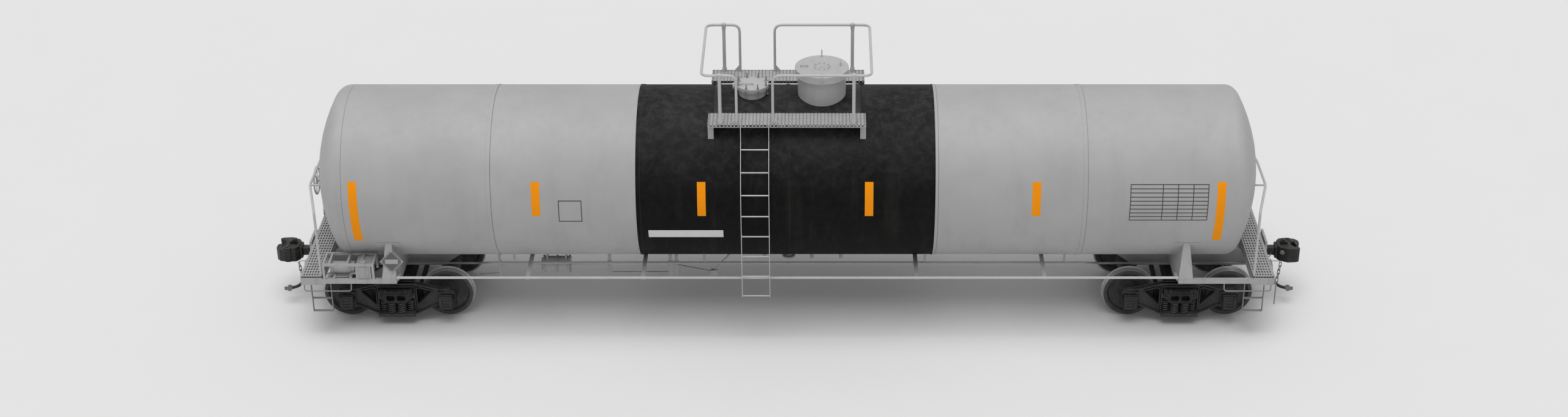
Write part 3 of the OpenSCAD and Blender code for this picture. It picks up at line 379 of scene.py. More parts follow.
class Piece:
    """One named piece, built up from several closed shapes."""

    def __init__(self, name, material, body="car", slot=None, replaces=()):
        self.name, self.material, self.body, self.slot, self.stands_for = name, material, body, slot, replaces
        self.bm = bmesh.new()

    def _add(self, other, matrix=None):
        if matrix is not None:
            bmesh.ops.transform(other, matrix=matrix, verts=other.verts)
        mesh = bpy.data.meshes.new("part")
        other.to_mesh(mesh)
        other.free()
        self.bm.from_mesh(mesh)
        bpy.data.meshes.remove(mesh)

    def _thicken(self, part, faces, thickness, matrix, bevel, segments):
        """Raises the flat faces into a plate, breaks its edges where a bevel is given, and adds it."""
        top = bmesh.ops.extrude_face_region(part, geom=faces)
        raised = [v for v in top["geom"] if isinstance(v, bmesh.types.BMVert)]
        bmesh.ops.translate(part, vec=(0, 0, thickness), verts=raised)
        bmesh.ops.recalc_face_normals(part, faces=part.faces[:])
        if bevel:
            edges = [e for e in part.edges if e.calc_face_angle(0) > SHARP]
            bmesh.ops.bevel(part, geom=edges, offset=bevel, segments=segments, affect="EDGES", profile=ROUND)
        self._add(part, matrix)

    def box(self, low, high, bevel=0.0, matrix=None, segments=2):
        low, high = Vector(low), Vector(high)
        part = bmesh.new()
        size = Vector(abs(high[i] - low[i]) for i in range(3))
        bmesh.ops.create_cube(part, size=1, matrix=Matrix.Translation((low + high) / 2) @ Matrix.Diagonal((*size, 1)))
        if bevel:
            bmesh.ops.bevel(part, geom=part.edges[:], offset=min(bevel, min(size) * 0.4), segments=segments,
                            affect="EDGES", profile=ROUND)
        self._add(part, matrix)

    def extrude(self, outline, thickness, matrix, bevel=0.0, segments=2):
        """Outline in X and Y, from 0 to thickness in Z, then placed with the matrix."""
        part = bmesh.new()
        face = part.faces.new([part.verts.new((x, y, 0)) for x, y in outline])
        self._thicken(part, [face], thickness, matrix, bevel, segments)

    def plate(self, outline, holes, thickness, matrix, bevel=0.0):
        """Outline with holes through it, both in X and Y, from 0 to thickness in Z, then placed with the matrix."""
        part = bmesh.new()
        edges = []
        for loop in (outline, *holes):
            verts = [part.verts.new((x, y, 0)) for x, y in loop]
            edges += [part.edges.new(pair) for pair in zip(verts, verts[1:] + verts[:1])]
        filled = bmesh.ops.triangle_fill(part, use_beauty=True, edges=edges)["geom"]
        faces = [g for g in filled if isinstance(g, bmesh.types.BMFace)]
        self._thicken(part, faces, thickness, matrix, bevel, 1)

    def lathe(self, profile, origin=(0, 0, 0), axis=(0, 0, 1), segments=32):
        """Profile of (radius, height) turned round the axis; it is closed where it starts and ends on the axis."""
        part = bmesh.new()
        rings = []
        for r, h in profile:
            if r < 1e-6:
                rings.append([part.verts.new((0, 0, h))])
            else:
                rings.append([part.verts.new((r * math.cos(a), r * math.sin(a), h))
                              for a in (2 * math.pi * k / segments for k in range(segments))])
        closed = len(rings[0]) > 1
        pairs = list(zip(rings, rings[1:] + rings[:1])) if closed else list(zip(rings, rings[1:]))
        for a, b in pairs:
            for k in range(segments):
                k2 = (k + 1) % segments
                if len(a) == 1:
                    part.faces.new((a[0], b[k2], b[k]))
                elif len(b) == 1:
                    part.faces.new((a[k], a[k2], b[0]))
                else:
                    part.faces.new((a[k], a[k2], b[k2], b[k]))
        bmesh.ops.recalc_face_normals(part, faces=part.faces[:])
        turn = Vector((0, 0, 1)).rotation_difference(Vector(axis)).to_matrix().to_4x4()
        self._add(part, Matrix.Translation(origin) @ turn)

    def disc(self, origin, axis, radius, height, segments=24, edge=0.0):
        """Round disc or rod of that height along the axis, with its edges broken."""
        edge = min(edge, radius * 0.4, height * 0.4)
        profile = [(0, 0), (radius - edge, 0), (radius, edge), (radius, height - edge), (radius - edge, height),
                   (0, height)]
        if not edge:
            profile = [(0, 0), (radius, 0), (radius, height), (0, height)]
        self.lathe(profile, origin, axis, segments)

    def rod(self, a, b, radius, segments=12):
        a, b = Vector(a), Vector(b)
        self.disc(a, b - a, radius, (b - a).length, segments)

    def tube(self, path, radius, segments=12, closed=False):
        """Round bar swept along the path."""
        part = bmesh.new()
        points = [Vector(p) for p in path]
        count = len(points)
        across = None
        rings = []
        for i, p in enumerate(points):
            before = points[i - 1] if (i or closed) else p
            after = points[(i + 1) % count] if (i < count - 1 or closed) else p
            t = (after - before).normalized()
            if across is None:
                across = t.orthogonal().normalized()
            across = (across - t * across.dot(t)).normalized()
            other = t.cross(across)
            r = radius[i] if isinstance(radius, (list, tuple)) else radius
            rings.append([part.verts.new(p + r * (across * math.cos(a) + other * math.sin(a)))
                          for a in (2 * math.pi * k / segments for k in range(segments))])
        for i in range(count if closed else count - 1):
            a, b = rings[i], rings[(i + 1) % count]
            for k in range(segments):
                k2 = (k + 1) % segments
                part.faces.new((a[k], a[k2], b[k2], b[k]))
        if not closed:
            part.faces.new(rings[0][::-1])
            part.faces.new(rings[-1])
        bmesh.ops.recalc_face_normals(part, faces=part.faces[:])
        self._add(part)

    def bolt(self, place, axis, across=0.03, height=0.02, washer=True, stud=0.0):
        """Hexagon head, with a washer under it and a stud end past it where one shows."""
        place, axis = Vector(place), Vector(axis).normalized()
        if washer:
            self.disc(place, axis, across * 0.66, across * 0.12, 16)
            place = place + axis * across * 0.12
        r = across / math.sqrt(3)
        self.lathe([(0, 0), (r, 0), (r, height * 0.85), (r * 0.86, height), (0, height)], place, axis, 6)
        if stud:
            self.disc(place, axis, across * 0.32, height + stud, 10)

    def done(self, angle=35.0):
        bmesh.ops.remove_doubles(self.bm, verts=self.bm.verts, dist=1e-6)
        mesh = bpy.data.meshes.new(self.name)
        self.bm.to_mesh(mesh)
        self.bm.free()
        mesh.shade_smooth()
        mesh.set_sharp_from_angle(angle=math.radians(angle))
        mesh.materials.append(self.material)
        obj = bpy.data.objects.new(self.name, mesh)
        scene.collection.objects.link(obj)
        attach(obj, self.body)
        if self.stands_for:
            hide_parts(*self.stands_for)
        return obj


def rounded(path, radius, steps=6):
    """The path with its corners rounded off."""
    points = [Vector(p) for p in path]
    out = [points[0]]
    for before, p, after in zip(points, points[1:], points[2:]):
        r = min(radius, (before - p).length * 0.49, (after - p).length * 0.49)
        s, e = p + (before - p).normalized() * r, p + (after - p).normalized() * r
        for k in range(steps + 1):
            t = k / steps
            out.append((1 - t) ** 2 * s + 2 * t * (1 - t) * p + t * t * e)
    out.append(points[-1])
    return out


# ---- Outlines ----

def upright(y):
    """Places an outline drawn in X and Z; its thickness runs towards -Y from y."""
    return Matrix(((1, 0, 0, 0), (0, 0, -1, y), (0, 1, 0, 0), (0, 0, 0, 1)))


def counterclockwise(loop):
    area = sum(a[0] * b[1] - b[0] * a[1] for a, b in zip(loop, loop[1:] + loop[:1]))
    return loop if area > 0 else loop[::-1]


def inset(loop, d):
    """The loop moved inwards by d (outwards where d is negative)."""
    loop = counterclockwise([tuple(p) for p in loop])
    out = []
    for before, p, after in zip(loop[-1:] + loop[:-1], loop, loop[1:] + loop[:1]):
        a = Vector((p[0] - before[0], p[1] - before[1])).normalized()
        b = Vector((after[0] - p[0], after[1] - p[1])).normalized()
        na, nb = Vector((-a.y, a.x)), Vector((-b.y, b.x))
        v = (na + nb) / (1 + na.dot(nb))
        out.append((p[0] + d * v.x, p[1] + d * v.y))
    return out


def round_loop(loop, radius, steps=4):
    """The closed loop with its corners rounded off."""
    loop = counterclockwise([tuple(p) for p in loop])
    out = []
    for before, p, after in zip(loop[-1:] + loop[:-1], loop, loop[1:] + loop[:1]):
        p, a, b = Vector(p), Vector(before) - Vector(p), Vector(after) - Vector(p)
        r = min(radius, a.length * 0.45, b.length * 0.45)
        s, e = p + a.normalized() * r, p + b.normalized() * r
        for k in range(steps + 1):
            t = k / steps
            out.append(tuple((1 - t) ** 2 * s + 2 * t * (1 - t) * p + t * t * e))
    return out


def block(x0, z0, x1, z1):
    return [(x0, z0), (x1, z0), (x1, z1), (x0, z1)]


# ---- Softened edges on the CAD model's own castings and plates ----

for name in ("end_beam_a", "end_beam_b", "body_bolster_a", "body_bolster_b", "side_sills", "tank_brackets",
             "truck_bolster_a", "truck_bolster_b", "brake_beams_a", "brake_beams_b",
             "knuckle_a", "knuckle_b", "brake_rack", "hand_brake", "stub_sill_a", "stub_sill_b", "valve_housing",
             "housing_lid", "manway_nozzle", "manway_cover"):
    node = nodes[name]
    soften = node.modifiers.new("soft_edges", "BEVEL")
    big = name.startswith(("knuckle", "housing_lid"))
    soften.width = 0.012 if big else 0.004
    soften.segments = 3 if big else 2
    soften.limit_method = "ANGLE"
    soften.angle_limit = math.radians(40)
    soften.use_clamp_overlap = True

# ---- Stripes, blank label, outlines and ruled table ----

def patch(piece, side, x0, x1, low, high, lift=0.0015):
    """Thin film on the jacket between two angles, in degrees above the tank's axis."""
    part = bmesh.new()
    count = max(1, math.ceil(abs(high - low) / 1.5))
    rings = []
    for k in range(count + 1):
        angle = math.radians(low + (high - low) * k / count)
        ring = []
        for x, r in ((x0, TANK_R + lift), (x1, TANK_R + lift), (x1, TANK_R - 0.002), (x0, TANK_R - 0.002)):
            ring.append(part.verts.new((x, side * r * math.cos(angle), AXIS_Z + r * math.sin(angle))))
        rings.append(ring)
    for a, b in zip(rings, rings[1:]):
        for k in range(4):
            part.faces.new((a[k], a[(k + 1) % 4], b[(k + 1) % 4], b[k]))
    part.faces.new(rings[0][::-1])
    part.faces.new(rings[-1])
    bmesh.ops.recalc_face_normals(part, faces=part.faces[:])
    piece._add(part)


def ruled(piece, side, columns, rows, line, lift=0.003):
    """Ruled lines: upright ones at the columns and level ones at the rows."""
    across = math.degrees(line / TANK_R)
    for x in columns:
        patch(piece, side, x - line / 2, x + line / 2, min(rows), max(rows), lift)
    for angle in rows:
        patch(piece, side, min(columns) - line / 2, max(columns) + line / 2,
              angle - across / 2, angle + across / 2, lift + 0.0004)


def spread(a, b, count):
    return [a + (b - a) * k / count for k in range(count + 1)]


# Places along the near side, and angles above the tank's axis in degrees
STRIPE_W = 0.147
STRIPE_XS = (-7.535, -4.365, -1.485, 1.425, 4.33, 7.535)
STRIPE_TOP, STRIPE_LOW, END_STRIPE_LOW = 19.6, -4.3, -27.0
LABEL_XS, LABEL_ANGLES = (-2.43, -1.12), (-23.3, -16.5)
BOX_XS, BOX_ANGLES, BOX_LINE = (-3.97, -3.575), [-8.6, 6.7], 0.013
TABLE_XS, TABLE_ANGLES, TABLE_LINE = (5.96, 6.52, 6.785, 7.05, 7.31), spread(-7.6, 17.9, 9), 0.012

for side_name, side in SIDES:
    turn = -side                       # what stands at -X on the near side stands at +X on the far side
    piece = Piece(f"stripes_{side_name}", m_orange, slot="jacket_grey")
    for x in STRIPE_XS:
        low = END_STRIPE_LOW if abs(x) > 7 else STRIPE_LOW
        patch(piece, side, turn * x - STRIPE_W / 2, turn * x + STRIPE_W / 2, low, STRIPE_TOP)
    piece.done()
    piece = Piece(f"label_{side_name}", m_white)
    patch(piece, side, *sorted(turn * x for x in LABEL_XS), *LABEL_ANGLES, 0.002)
    piece.done()
    piece = Piece(f"outlines_{side_name}", m_line)
    ruled(piece, side, [turn * x for x in BOX_XS], BOX_ANGLES, BOX_LINE)
    ruled(piece, side, [turn * x for x in TABLE_XS], TABLE_ANGLES, TABLE_LINE)
    piece.done()

# ---- Blank placard in its holder, on the left gusset of each side ----

PLACARD_X, PLACARD_Y, PLACARD_Z, PLACARD_HALF = 6.99, 1.418, 1.475, 0.193
PLACARD_LEAN = math.atan2(0.191, 0.59)  # the gusset's slope
for end, s in ENDS:
    side = s                           # the B end's stands on the near side, the A end's on the far one
    centre = Vector((s * PLACARD_X, side * PLACARD_Y, PLACARD_Z))
    frame_matrix = (Matrix.Translation(centre) @ Matrix.Rotation(side * PLACARD_LEAN, 4, "X")
                    @ Matrix.Rotation(0 if side < 0 else math.pi, 4, "Z"))
    half = PLACARD_HALF
    diamond = [(0, -half), (half, 0), (0, half), (-half, 0)]
    holder = Piece(f"placard_holder_{end}", m_frame, slot="frame_grey")
    holder.plate(inset(diamond, -0.012), [inset(diamond, 0.075)], 0.004, frame_matrix @ upright(0.004))
    for dx, dz in ((0, -half), (half, 0), (0, half), (-half, 0)):
        low = Vector((dx, 0, dz)) * 0.97
        holder.box(low - Vector((0.018, 0.008, 0.014)), low + Vector((0.018, 0.004, 0.014)), 0.003, frame_matrix)
    holder.done()
    sign = Piece(f"placard_{end}", m_placard)
    sign.plate(round_loop(diamond, 0.02), [], 0.003, frame_matrix @ upright(0.0))
    sign.done()
    blank = Piece(f"placard_blank_{end}", m_pale)
    blank.plate(round_loop(block(-0.115, -0.04, 0.115, 0.04), 0.008), [], 0.0015, frame_matrix @ upright(-0.003))
    blank.plate(inset(diamond, 0.012), [inset(diamond, 0.017)], 0.001, frame_matrix @ upright(-0.003))
    blank.done()

# ---- Gratings: flat slats with openings between them ----

GRATE_T, WALK_T = 0.032, 0.05
WALK_HALF, WALK_IN, WALK_OUT = 1.37, 0.64, 1.11
EDGE_BAR, WALK_BAR = 0.008, 0.017      # thickness of a walkway's edge, and half the width of its bars
BREAK = 0.002                          # broken edges of the bars

gratings = Piece("gratings_open", m_grating, slot="grating_grey", replaces=["gratings"])


def slat(low, high):
    gratings.box(low, high, BREAK, segments=1)


for s in (1, -1):
    x0, x1 = PLAT_X + 0.002, PLAT_OUT - 0.027
    rows, columns = 32, 7
    for k in range(rows + 1):
        y = -SIDE_Y + 0.02 + (2 * SIDE_Y - 0.04) * k / rows
        slat((s * x0, y - 0.02, PLAT_TOP - GRATE_T), (s * x1, y + 0.02, PLAT_TOP - 0.001))
        if k < rows:
            y += (SIDE_Y - 0.02) / rows
            slat((s * x0, y - 0.016, PLAT_TOP - GRATE_T), (s * x1, y + 0.016, PLAT_TOP - 0.016))
    for k in range(columns + 1):
        x = x0 + 0.012 + (x1 - x0 - 0.024) * k / columns
        slat((s * (x - 0.012), -SIDE_Y, PLAT_TOP - GRATE_T), (s * (x + 0.012), SIDE_Y, PLAT_TOP))
for side in (1, -1):
    for y in (WALK_IN, WALK_OUT - EDGE_BAR):
        slat((-WALK_HALF, side * y, WALK_TOP - WALK_T), (WALK_HALF, side * (y + EDGE_BAR), WALK_TOP))
    for w in (1, -1):
        slat((w * WALK_HALF, side * WALK_IN, WALK_TOP - WALK_T),
             (w * (WALK_HALF - EDGE_BAR), side * WALK_OUT, WALK_TOP))
    rows, columns = 8, 44
    for k in range(1, rows):
        y = WALK_IN + (WALK_OUT - WALK_IN) * k / rows
        slat((-WALK_HALF, side * (y - WALK_BAR), WALK_TOP - 0.03),
             (WALK_HALF, side * (y + WALK_BAR), WALK_TOP - 0.001))
    for k in range(1, columns):
        x = -WALK_HALF + 2 * WALK_HALF * k / columns
        wide = 0.026 if k % 4 == 0 else 0.020
        slat((x - wide, side * WALK_IN, WALK_TOP - 0.032), (x + wide, side * WALK_OUT, WALK_TOP))
gratings.done()

# ---- Trucks ----

FRAME_Y = 1.003
BEARING_R = 0.125
SPRING_PLACES = ((-0.088, -0.09), (0.088, -0.09), (-0.088, 0.09), (0.088, 0.09), (-0.235, 0), (0.235, 0))
OUTER_COIL, INNER_COIL = (0.070, 0.024, 5.0), (0.038, 0.016, 7.5)    # radius, wire, turns
SPRING_LOW, SPRING_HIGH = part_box("springs_a")[0].z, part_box("springs_a")[1].z

m_casting = cast_steel("side_frame_casting", grey(0.034), rough=0.55)


def side_frame(piece, x, y):
    """One side frame: a web with windows, flanges round every edge, pedestal roofs and spring seat."""
    jaw_in, jaw_out = AXLE_X - BEARING_R - 0.054, AXLE_X + BEARING_R + 0.044
    half = [(0, 0.80), (0.33, 0.80), (0.72, 0.70), (jaw_out - 0.03, 0.655), (jaw_out, 0.62), (jaw_out, 0.345),
            (jaw_out - 0.04, 0.345), (jaw_out - 0.04, 0.482), (jaw_in + 0.05, 0.482), (jaw_in + 0.05, 0.355),
            (jaw_in - 0.02, 0.35), (0.36, 0.19), (0, 0.19)]
    right = [(x + a, b) for a, b in half]
    left = [(x - a, b) for a, b in half[-2:0:-1]]
    outline = counterclockwise(right + left)
    holes = [round_loop(block(x - 0.315, 0.226, x + 0.315, 0.735), 0.03)]
    for w in (-1, 1):
        window = [(x + w * 0.37, 0.37), (x + w * 0.37, 0.70), (x + w * 0.42, 0.72), (x + w * 0.64, 0.655)]
        holes.append(round_loop(window, 0.035))
    thick, wide = 0.045, 0.125
    piece.plate(outline, holes, thick, upright(y + thick / 2), 0.003)
    piece.plate(outline, [inset(outline, 0.02)], wide, upright(y + wide / 2), 0.004)
    for hole in holes[1:]:
        piece.plate(inset(hole, -0.018), [hole], wide, upright(y + wide / 2), 0.004)
    piece.plate(inset(holes[0], -0.02), [holes[0]], wide, upright(y + wide / 2), 0.004)
    for w in (-1, 1):
        roof = x + w * AXLE_X
        piece.box((roof - BEARING_R - 0.022, y - 0.095, 0.612), (roof + BEARING_R + 0.022, y + 0.095, 0.648), 0.01)
        hump = [(roof - 0.10, 0.648), (roof + 0.10, 0.648), (roof + 0.06, 0.685), (roof - 0.06, 0.685)]
        piece.extrude(round_loop(hump, 0.015), 0.11, upright(y + 0.055), 0.004)
    piece.box((x - 0.33, y - 0.18, 0.19), (x + 0.33, y + 0.18, SPRING_LOW), 0.008)


def bearing_box(piece, x, side):
    """Ribbed box over the end of a bearing, open towards the wheel."""
    y_in, y_out = side * 1.115, side * 1.172
    low, high, w = 0.325, 0.615, 0.128
    outline = round_loop(block(x - w, low, x + w, high), 0.025)
    piece.plate(outline, [inset(outline, 0.012)], abs(y_out - y_in), upright(max(y_in, y_out)), 0.002)
    piece.extrude(outline, 0.014, upright(max(y_out, y_out - side * 0.014)), 0.003)
    for k in range(4):
        z = low + 0.055 + k * 0.06
        piece.box((x - 0.07, y_out, z - 0.007), (x + 0.07, y_out + side * 0.014, z + 0.007), 0.003)
    for wx in (-1, 1):
        piece.box((x + wx * 0.085 - 0.01, y_out, low + 0.02),
                  (x + wx * 0.085 + 0.01, y_out + side * 0.012, high - 0.02), 0.003)
        for z in (low + 0.02, high - 0.02):
            piece.bolt((x + wx * 0.108, y_out, z), (0, side, 0), 0.022, 0.012)


def coil(piece, x, y, radius, wire, turns):
    low, high = SPRING_LOW + wire / 2, SPRING_HIGH - wire / 2
    count = int(turns * 18)
    path = []
    for k in range(count + 1):
        t = k / count
        a = 2 * math.pi * turns * t
        rise = min(1.0, max(0.0, (t - 0.08) / 0.84))
        path.append((x + radius * math.cos(a), y + radius * math.sin(a), low + (high - low) * rise))
    piece.tube(path, wire / 2, 8)


for end, s in ENDS:
    body, x = f"truck_{end}", s * TRUCK_X
    frames = Piece(f"side_frame_castings_{end}", m_casting, body, "truck_black", [f"side_frames_{end}"])
    boxes = Piece(f"bearing_boxes_{end}", m_casting, body, "truck_black")
    coils = Piece(f"coil_springs_{end}", m_spring, body, "spring_steel", [f"springs_{end}"])
    ends = Piece(f"bolster_ends_{end}", m_truck, body, "truck_black")
    for side in (-1, 1):
        side_frame(frames, x, side * FRAME_Y)
        for w in (-1, 1):
            bearing_box(boxes, x + w * AXLE_X, side)
        for dx, dy in SPRING_PLACES:
            coil(coils, x + dx, side * FRAME_Y + dy, *OUTER_COIL)
            coil(coils, x + dx, side * FRAME_Y + dy, *INNER_COIL)
        face = side * (FRAME_Y + 0.105)
        outer = face + side * 0.045
        outline = round_loop([(x - 0.235, 0.56), (x - 0.20, 0.462), (x + 0.20, 0.462), (x + 0.235, 0.56),
                              (x + 0.235, 0.655), (x - 0.235, 0.655)], 0.03)
        holes = [round_loop(block(x + w * 0.095 - 0.075, 0.50, x + w * 0.095 + 0.075, 0.62), 0.05, 6) for w in (-1, 1)]
        ends.plate(outline, holes, 0.045, upright(max(face, outer)), 0.004)
        for hole in holes:
            ends.plate(inset(hole, -0.016), [hole], 0.012, upright(max(outer, outer + side * 0.012)), 0.003)
        for w in (-1, 1):
            lug = [(x + w * 0.228, 0.50), (x + w * 0.30, 0.565), (x + w * 0.30, 0.70), (x + w * 0.228, 0.70)]
            ends.extrude(round_loop(lug, 0.012), 0.30, upright(side * FRAME_Y + 0.15), 0.006)
            ends.box((x + w * 0.16, face, 0.665), (x + w * 0.215, outer, 0.72), 0.01)
            ends.bolt((x + w * 0.262, side * FRAME_Y + side * 0.15, 0.655), (0, side, 0), 0.036, 0.02)
            ends.bolt((x + w * 0.262, side * FRAME_Y + side * 0.15, 0.60), (0, side, 0), 0.036, 0.02)
        ends.box((x - 0.235, side * 0.95, 0.655), (x + 0.235, side * (FRAME_Y + 0.14), 0.685), 0.01)
    for piece in (frames, boxes, coils, ends):
        piece.done()

# ---- Manway cover ----

man_low, man_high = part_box("manway_cover")
MAN_X, MAN_LOW, MAN_R = -0.620, man_low.z, man_high.y
bolts_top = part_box("manway_bolts")[1].z

rim = Piece("manway_rim", m_fitting, "manway_lid", "fitting_grey")
eyes = Piece("manway_eye_nuts", m_bolt, "manway_lid", "bolt_steel")
stems = Piece("manway_bolt_stems", m_bolt, "car", "bolt_steel")
for k in range(8):
    a = math.radians(45 * k + 22.5)
    turn = Matrix.Translation((MAN_X, 0, 0)) @ Matrix.Rotation(a, 4, "Z")
    for w in (-1, 1):
        rim.box((MAN_R - 0.045, w * 0.026 - 0.008, MAN_LOW + 0.002),
                (MAN_R + 0.016, w * 0.026 + 0.008, MAN_LOW + 0.05), 0.004, turn)
    at = turn @ Vector((MAN_R - 0.022, 0, bolts_top + 0.014))
    ring = [at + 0.017 * (math.cos(t) * Vector((math.cos(a), math.sin(a), 0)) + math.sin(t) * Vector((0, 0, 1)))
            for t in (2 * math.pi * j / 16 for j in range(16))]
    eyes.tube(ring, 0.0065, 8, closed=True)
    stem = turn @ Vector((MAN_R + 0.012, 0, 0))
    stems.rod((stem.x, stem.y, MAN_LOW - 0.10), (stem.x, stem.y, MAN_LOW - 0.002), 0.009)
    stems.disc((stem.x, stem.y, MAN_LOW - 0.115), (0, 0, 1), 0.016, 0.022, 12, 0.003)
handle = rounded([(MAN_X - 0.20, -0.09, MAN_LOW + 0.03), (MAN_X - 0.20, -0.09, MAN_LOW + 0.085),
                  (MAN_X + 0.02, -0.09, MAN_LOW + 0.085), (MAN_X + 0.02, -0.09, MAN_LOW + 0.03)], 0.03)
rim.tube(handle, 0.009, 10)
rim.box((MAN_X - 0.30, -0.055, MAN_LOW + 0.03), (MAN_X - 0.14, -0.035, MAN_LOW + 0.062), 0.006)
rim.box((MAN_X - 0.30, 0.035, MAN_LOW + 0.03), (MAN_X - 0.14, 0.055, MAN_LOW + 0.062), 0.006)
for piece in (rim, eyes, stems):
    piece.done()

# ---- Valve housing lid ----

lid_low, lid_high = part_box("housing_lid")
LID_X, LID_TOP = 0.605, lid_high.z - 0.004
LID_R = (lid_high.x - lid_low.x) / 2
LID_BOLTS_R, POST_Y = 0.135, 0.43
lid = Piece("housing_lid_fittings", m_fitting, "housing_cap", "fitting_grey")
lid.lathe([(0.115, 0), (0.155, 0), (0.155, 0.006), (0.150, 0.010), (0.120, 0.010), (0.115, 0.006)],
          (LID_X, 0, LID_TOP), segments=48)
lid.disc((LID_X, 0, LID_TOP), (0, 0, 1), 0.045, 0.012, 24, 0.004)
for k in range(10):
    a = 2 * math.pi * k / 10
    lid.bolt((LID_X + LID_BOLTS_R * math.cos(a), LID_BOLTS_R * math.sin(a), LID_TOP + 0.009), (0, 0, 1), 0.024, 0.014)
lid.tube(rounded([(LID_X - 0.37, -0.014, LID_TOP - 0.004), (LID_X - 0.37, -0.014, LID_TOP + 0.045),
                  (LID_X - 0.25, -0.014, LID_TOP + 0.045), (LID_X - 0.25, -0.014, LID_TOP - 0.004)], 0.02), 0.010, 10)
lid.box((LID_X - 0.385, -0.04, LID_TOP - 0.003), (LID_X - 0.235, 0.012, LID_TOP + 0.008), 0.003)
lid.tube(rounded([(LID_X + 0.33, 0.02, LID_TOP - 0.004), (LID_X + 0.33, 0.02, LID_TOP + 0.105),
                  (LID_X + 0.33, 0.12, LID_TOP + 0.105), (LID_X + 0.33, 0.12, LID_TOP - 0.004)], 0.045), 0.009, 10)
lid.rod((LID_X, POST_Y, LID_TOP - 0.01), (LID_X, POST_Y, LID_TOP + 0.13), 0.010)
lid.disc((LID_X, POST_Y, LID_TOP - 0.002), (0, 0, 1), 0.024, 0.02, 16, 0.004)
lid.rod((LID_X, -POST_Y, LID_TOP - 0.01), (LID_X, -POST_Y, LID_TOP + 0.085), 0.010)
lid.box((LID_X - 0.022, -LID_R - 0.022, lid_low.z + 0.01), (LID_X + 0.022, -LID_R + 0.02, LID_TOP - 0.02), 0.006)
lid.tube(rounded([(LID_X, -POST_Y, LID_TOP + 0.08), (LID_X, -LID_R - 0.03, LID_TOP + 0.03),
                  (LID_X, -LID_R - 0.03, lid_low.z - 0.01)], 0.04), 0.007, 8)
lid.lathe([(LID_R - 0.002, 0), (LID_R + 0.008, 0), (LID_R + 0.008, 0.022), (LID_R - 0.002, 0.022)],
          (LID_X, 0, lid_low.z + 0.004), segments=72)
lid.done()

# ---- Couplers ----

HEAD_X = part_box("stub_sill_a")[1].x + 0.08
m_chain = cast_steel("chain_steel", grey(0.17), rough=0.45, rust=0.15)


def link(piece, centre, long, wire, along, across):
    """One oval chain link."""
    centre, along, across = Vector(centre), Vector(along).normalized(), Vector(across).normalized()
    half, r = long / 2 - wire * 1.6, wire * 1.6
    loop = []
    for k in range(12):
        t = 2 * math.pi * k / 12
        shift = half if math.sin(t) >= 0 else -half
        loop.append(centre + along * (r * math.sin(t) + shift) + across * (r * math.cos(t)))
    piece.tube(loop, wire / 2, 8, closed=True)


def chain(piece, a, b, count, wire):
    a, b = Vector(a), Vector(b)
    along = (b - a).normalized()
    side = along.orthogonal().normalized()
    other = along.cross(side)
    pitch = (b - a).length / count
    for k in range(count):
        link(piece, a + along * pitch * (k + 0.5), pitch + 1.6 * wire, wire, along, side if k % 2 else other)


COUPLER_Z, HEAD_HALF = 0.901, 0.14
PIN_X = 8.30


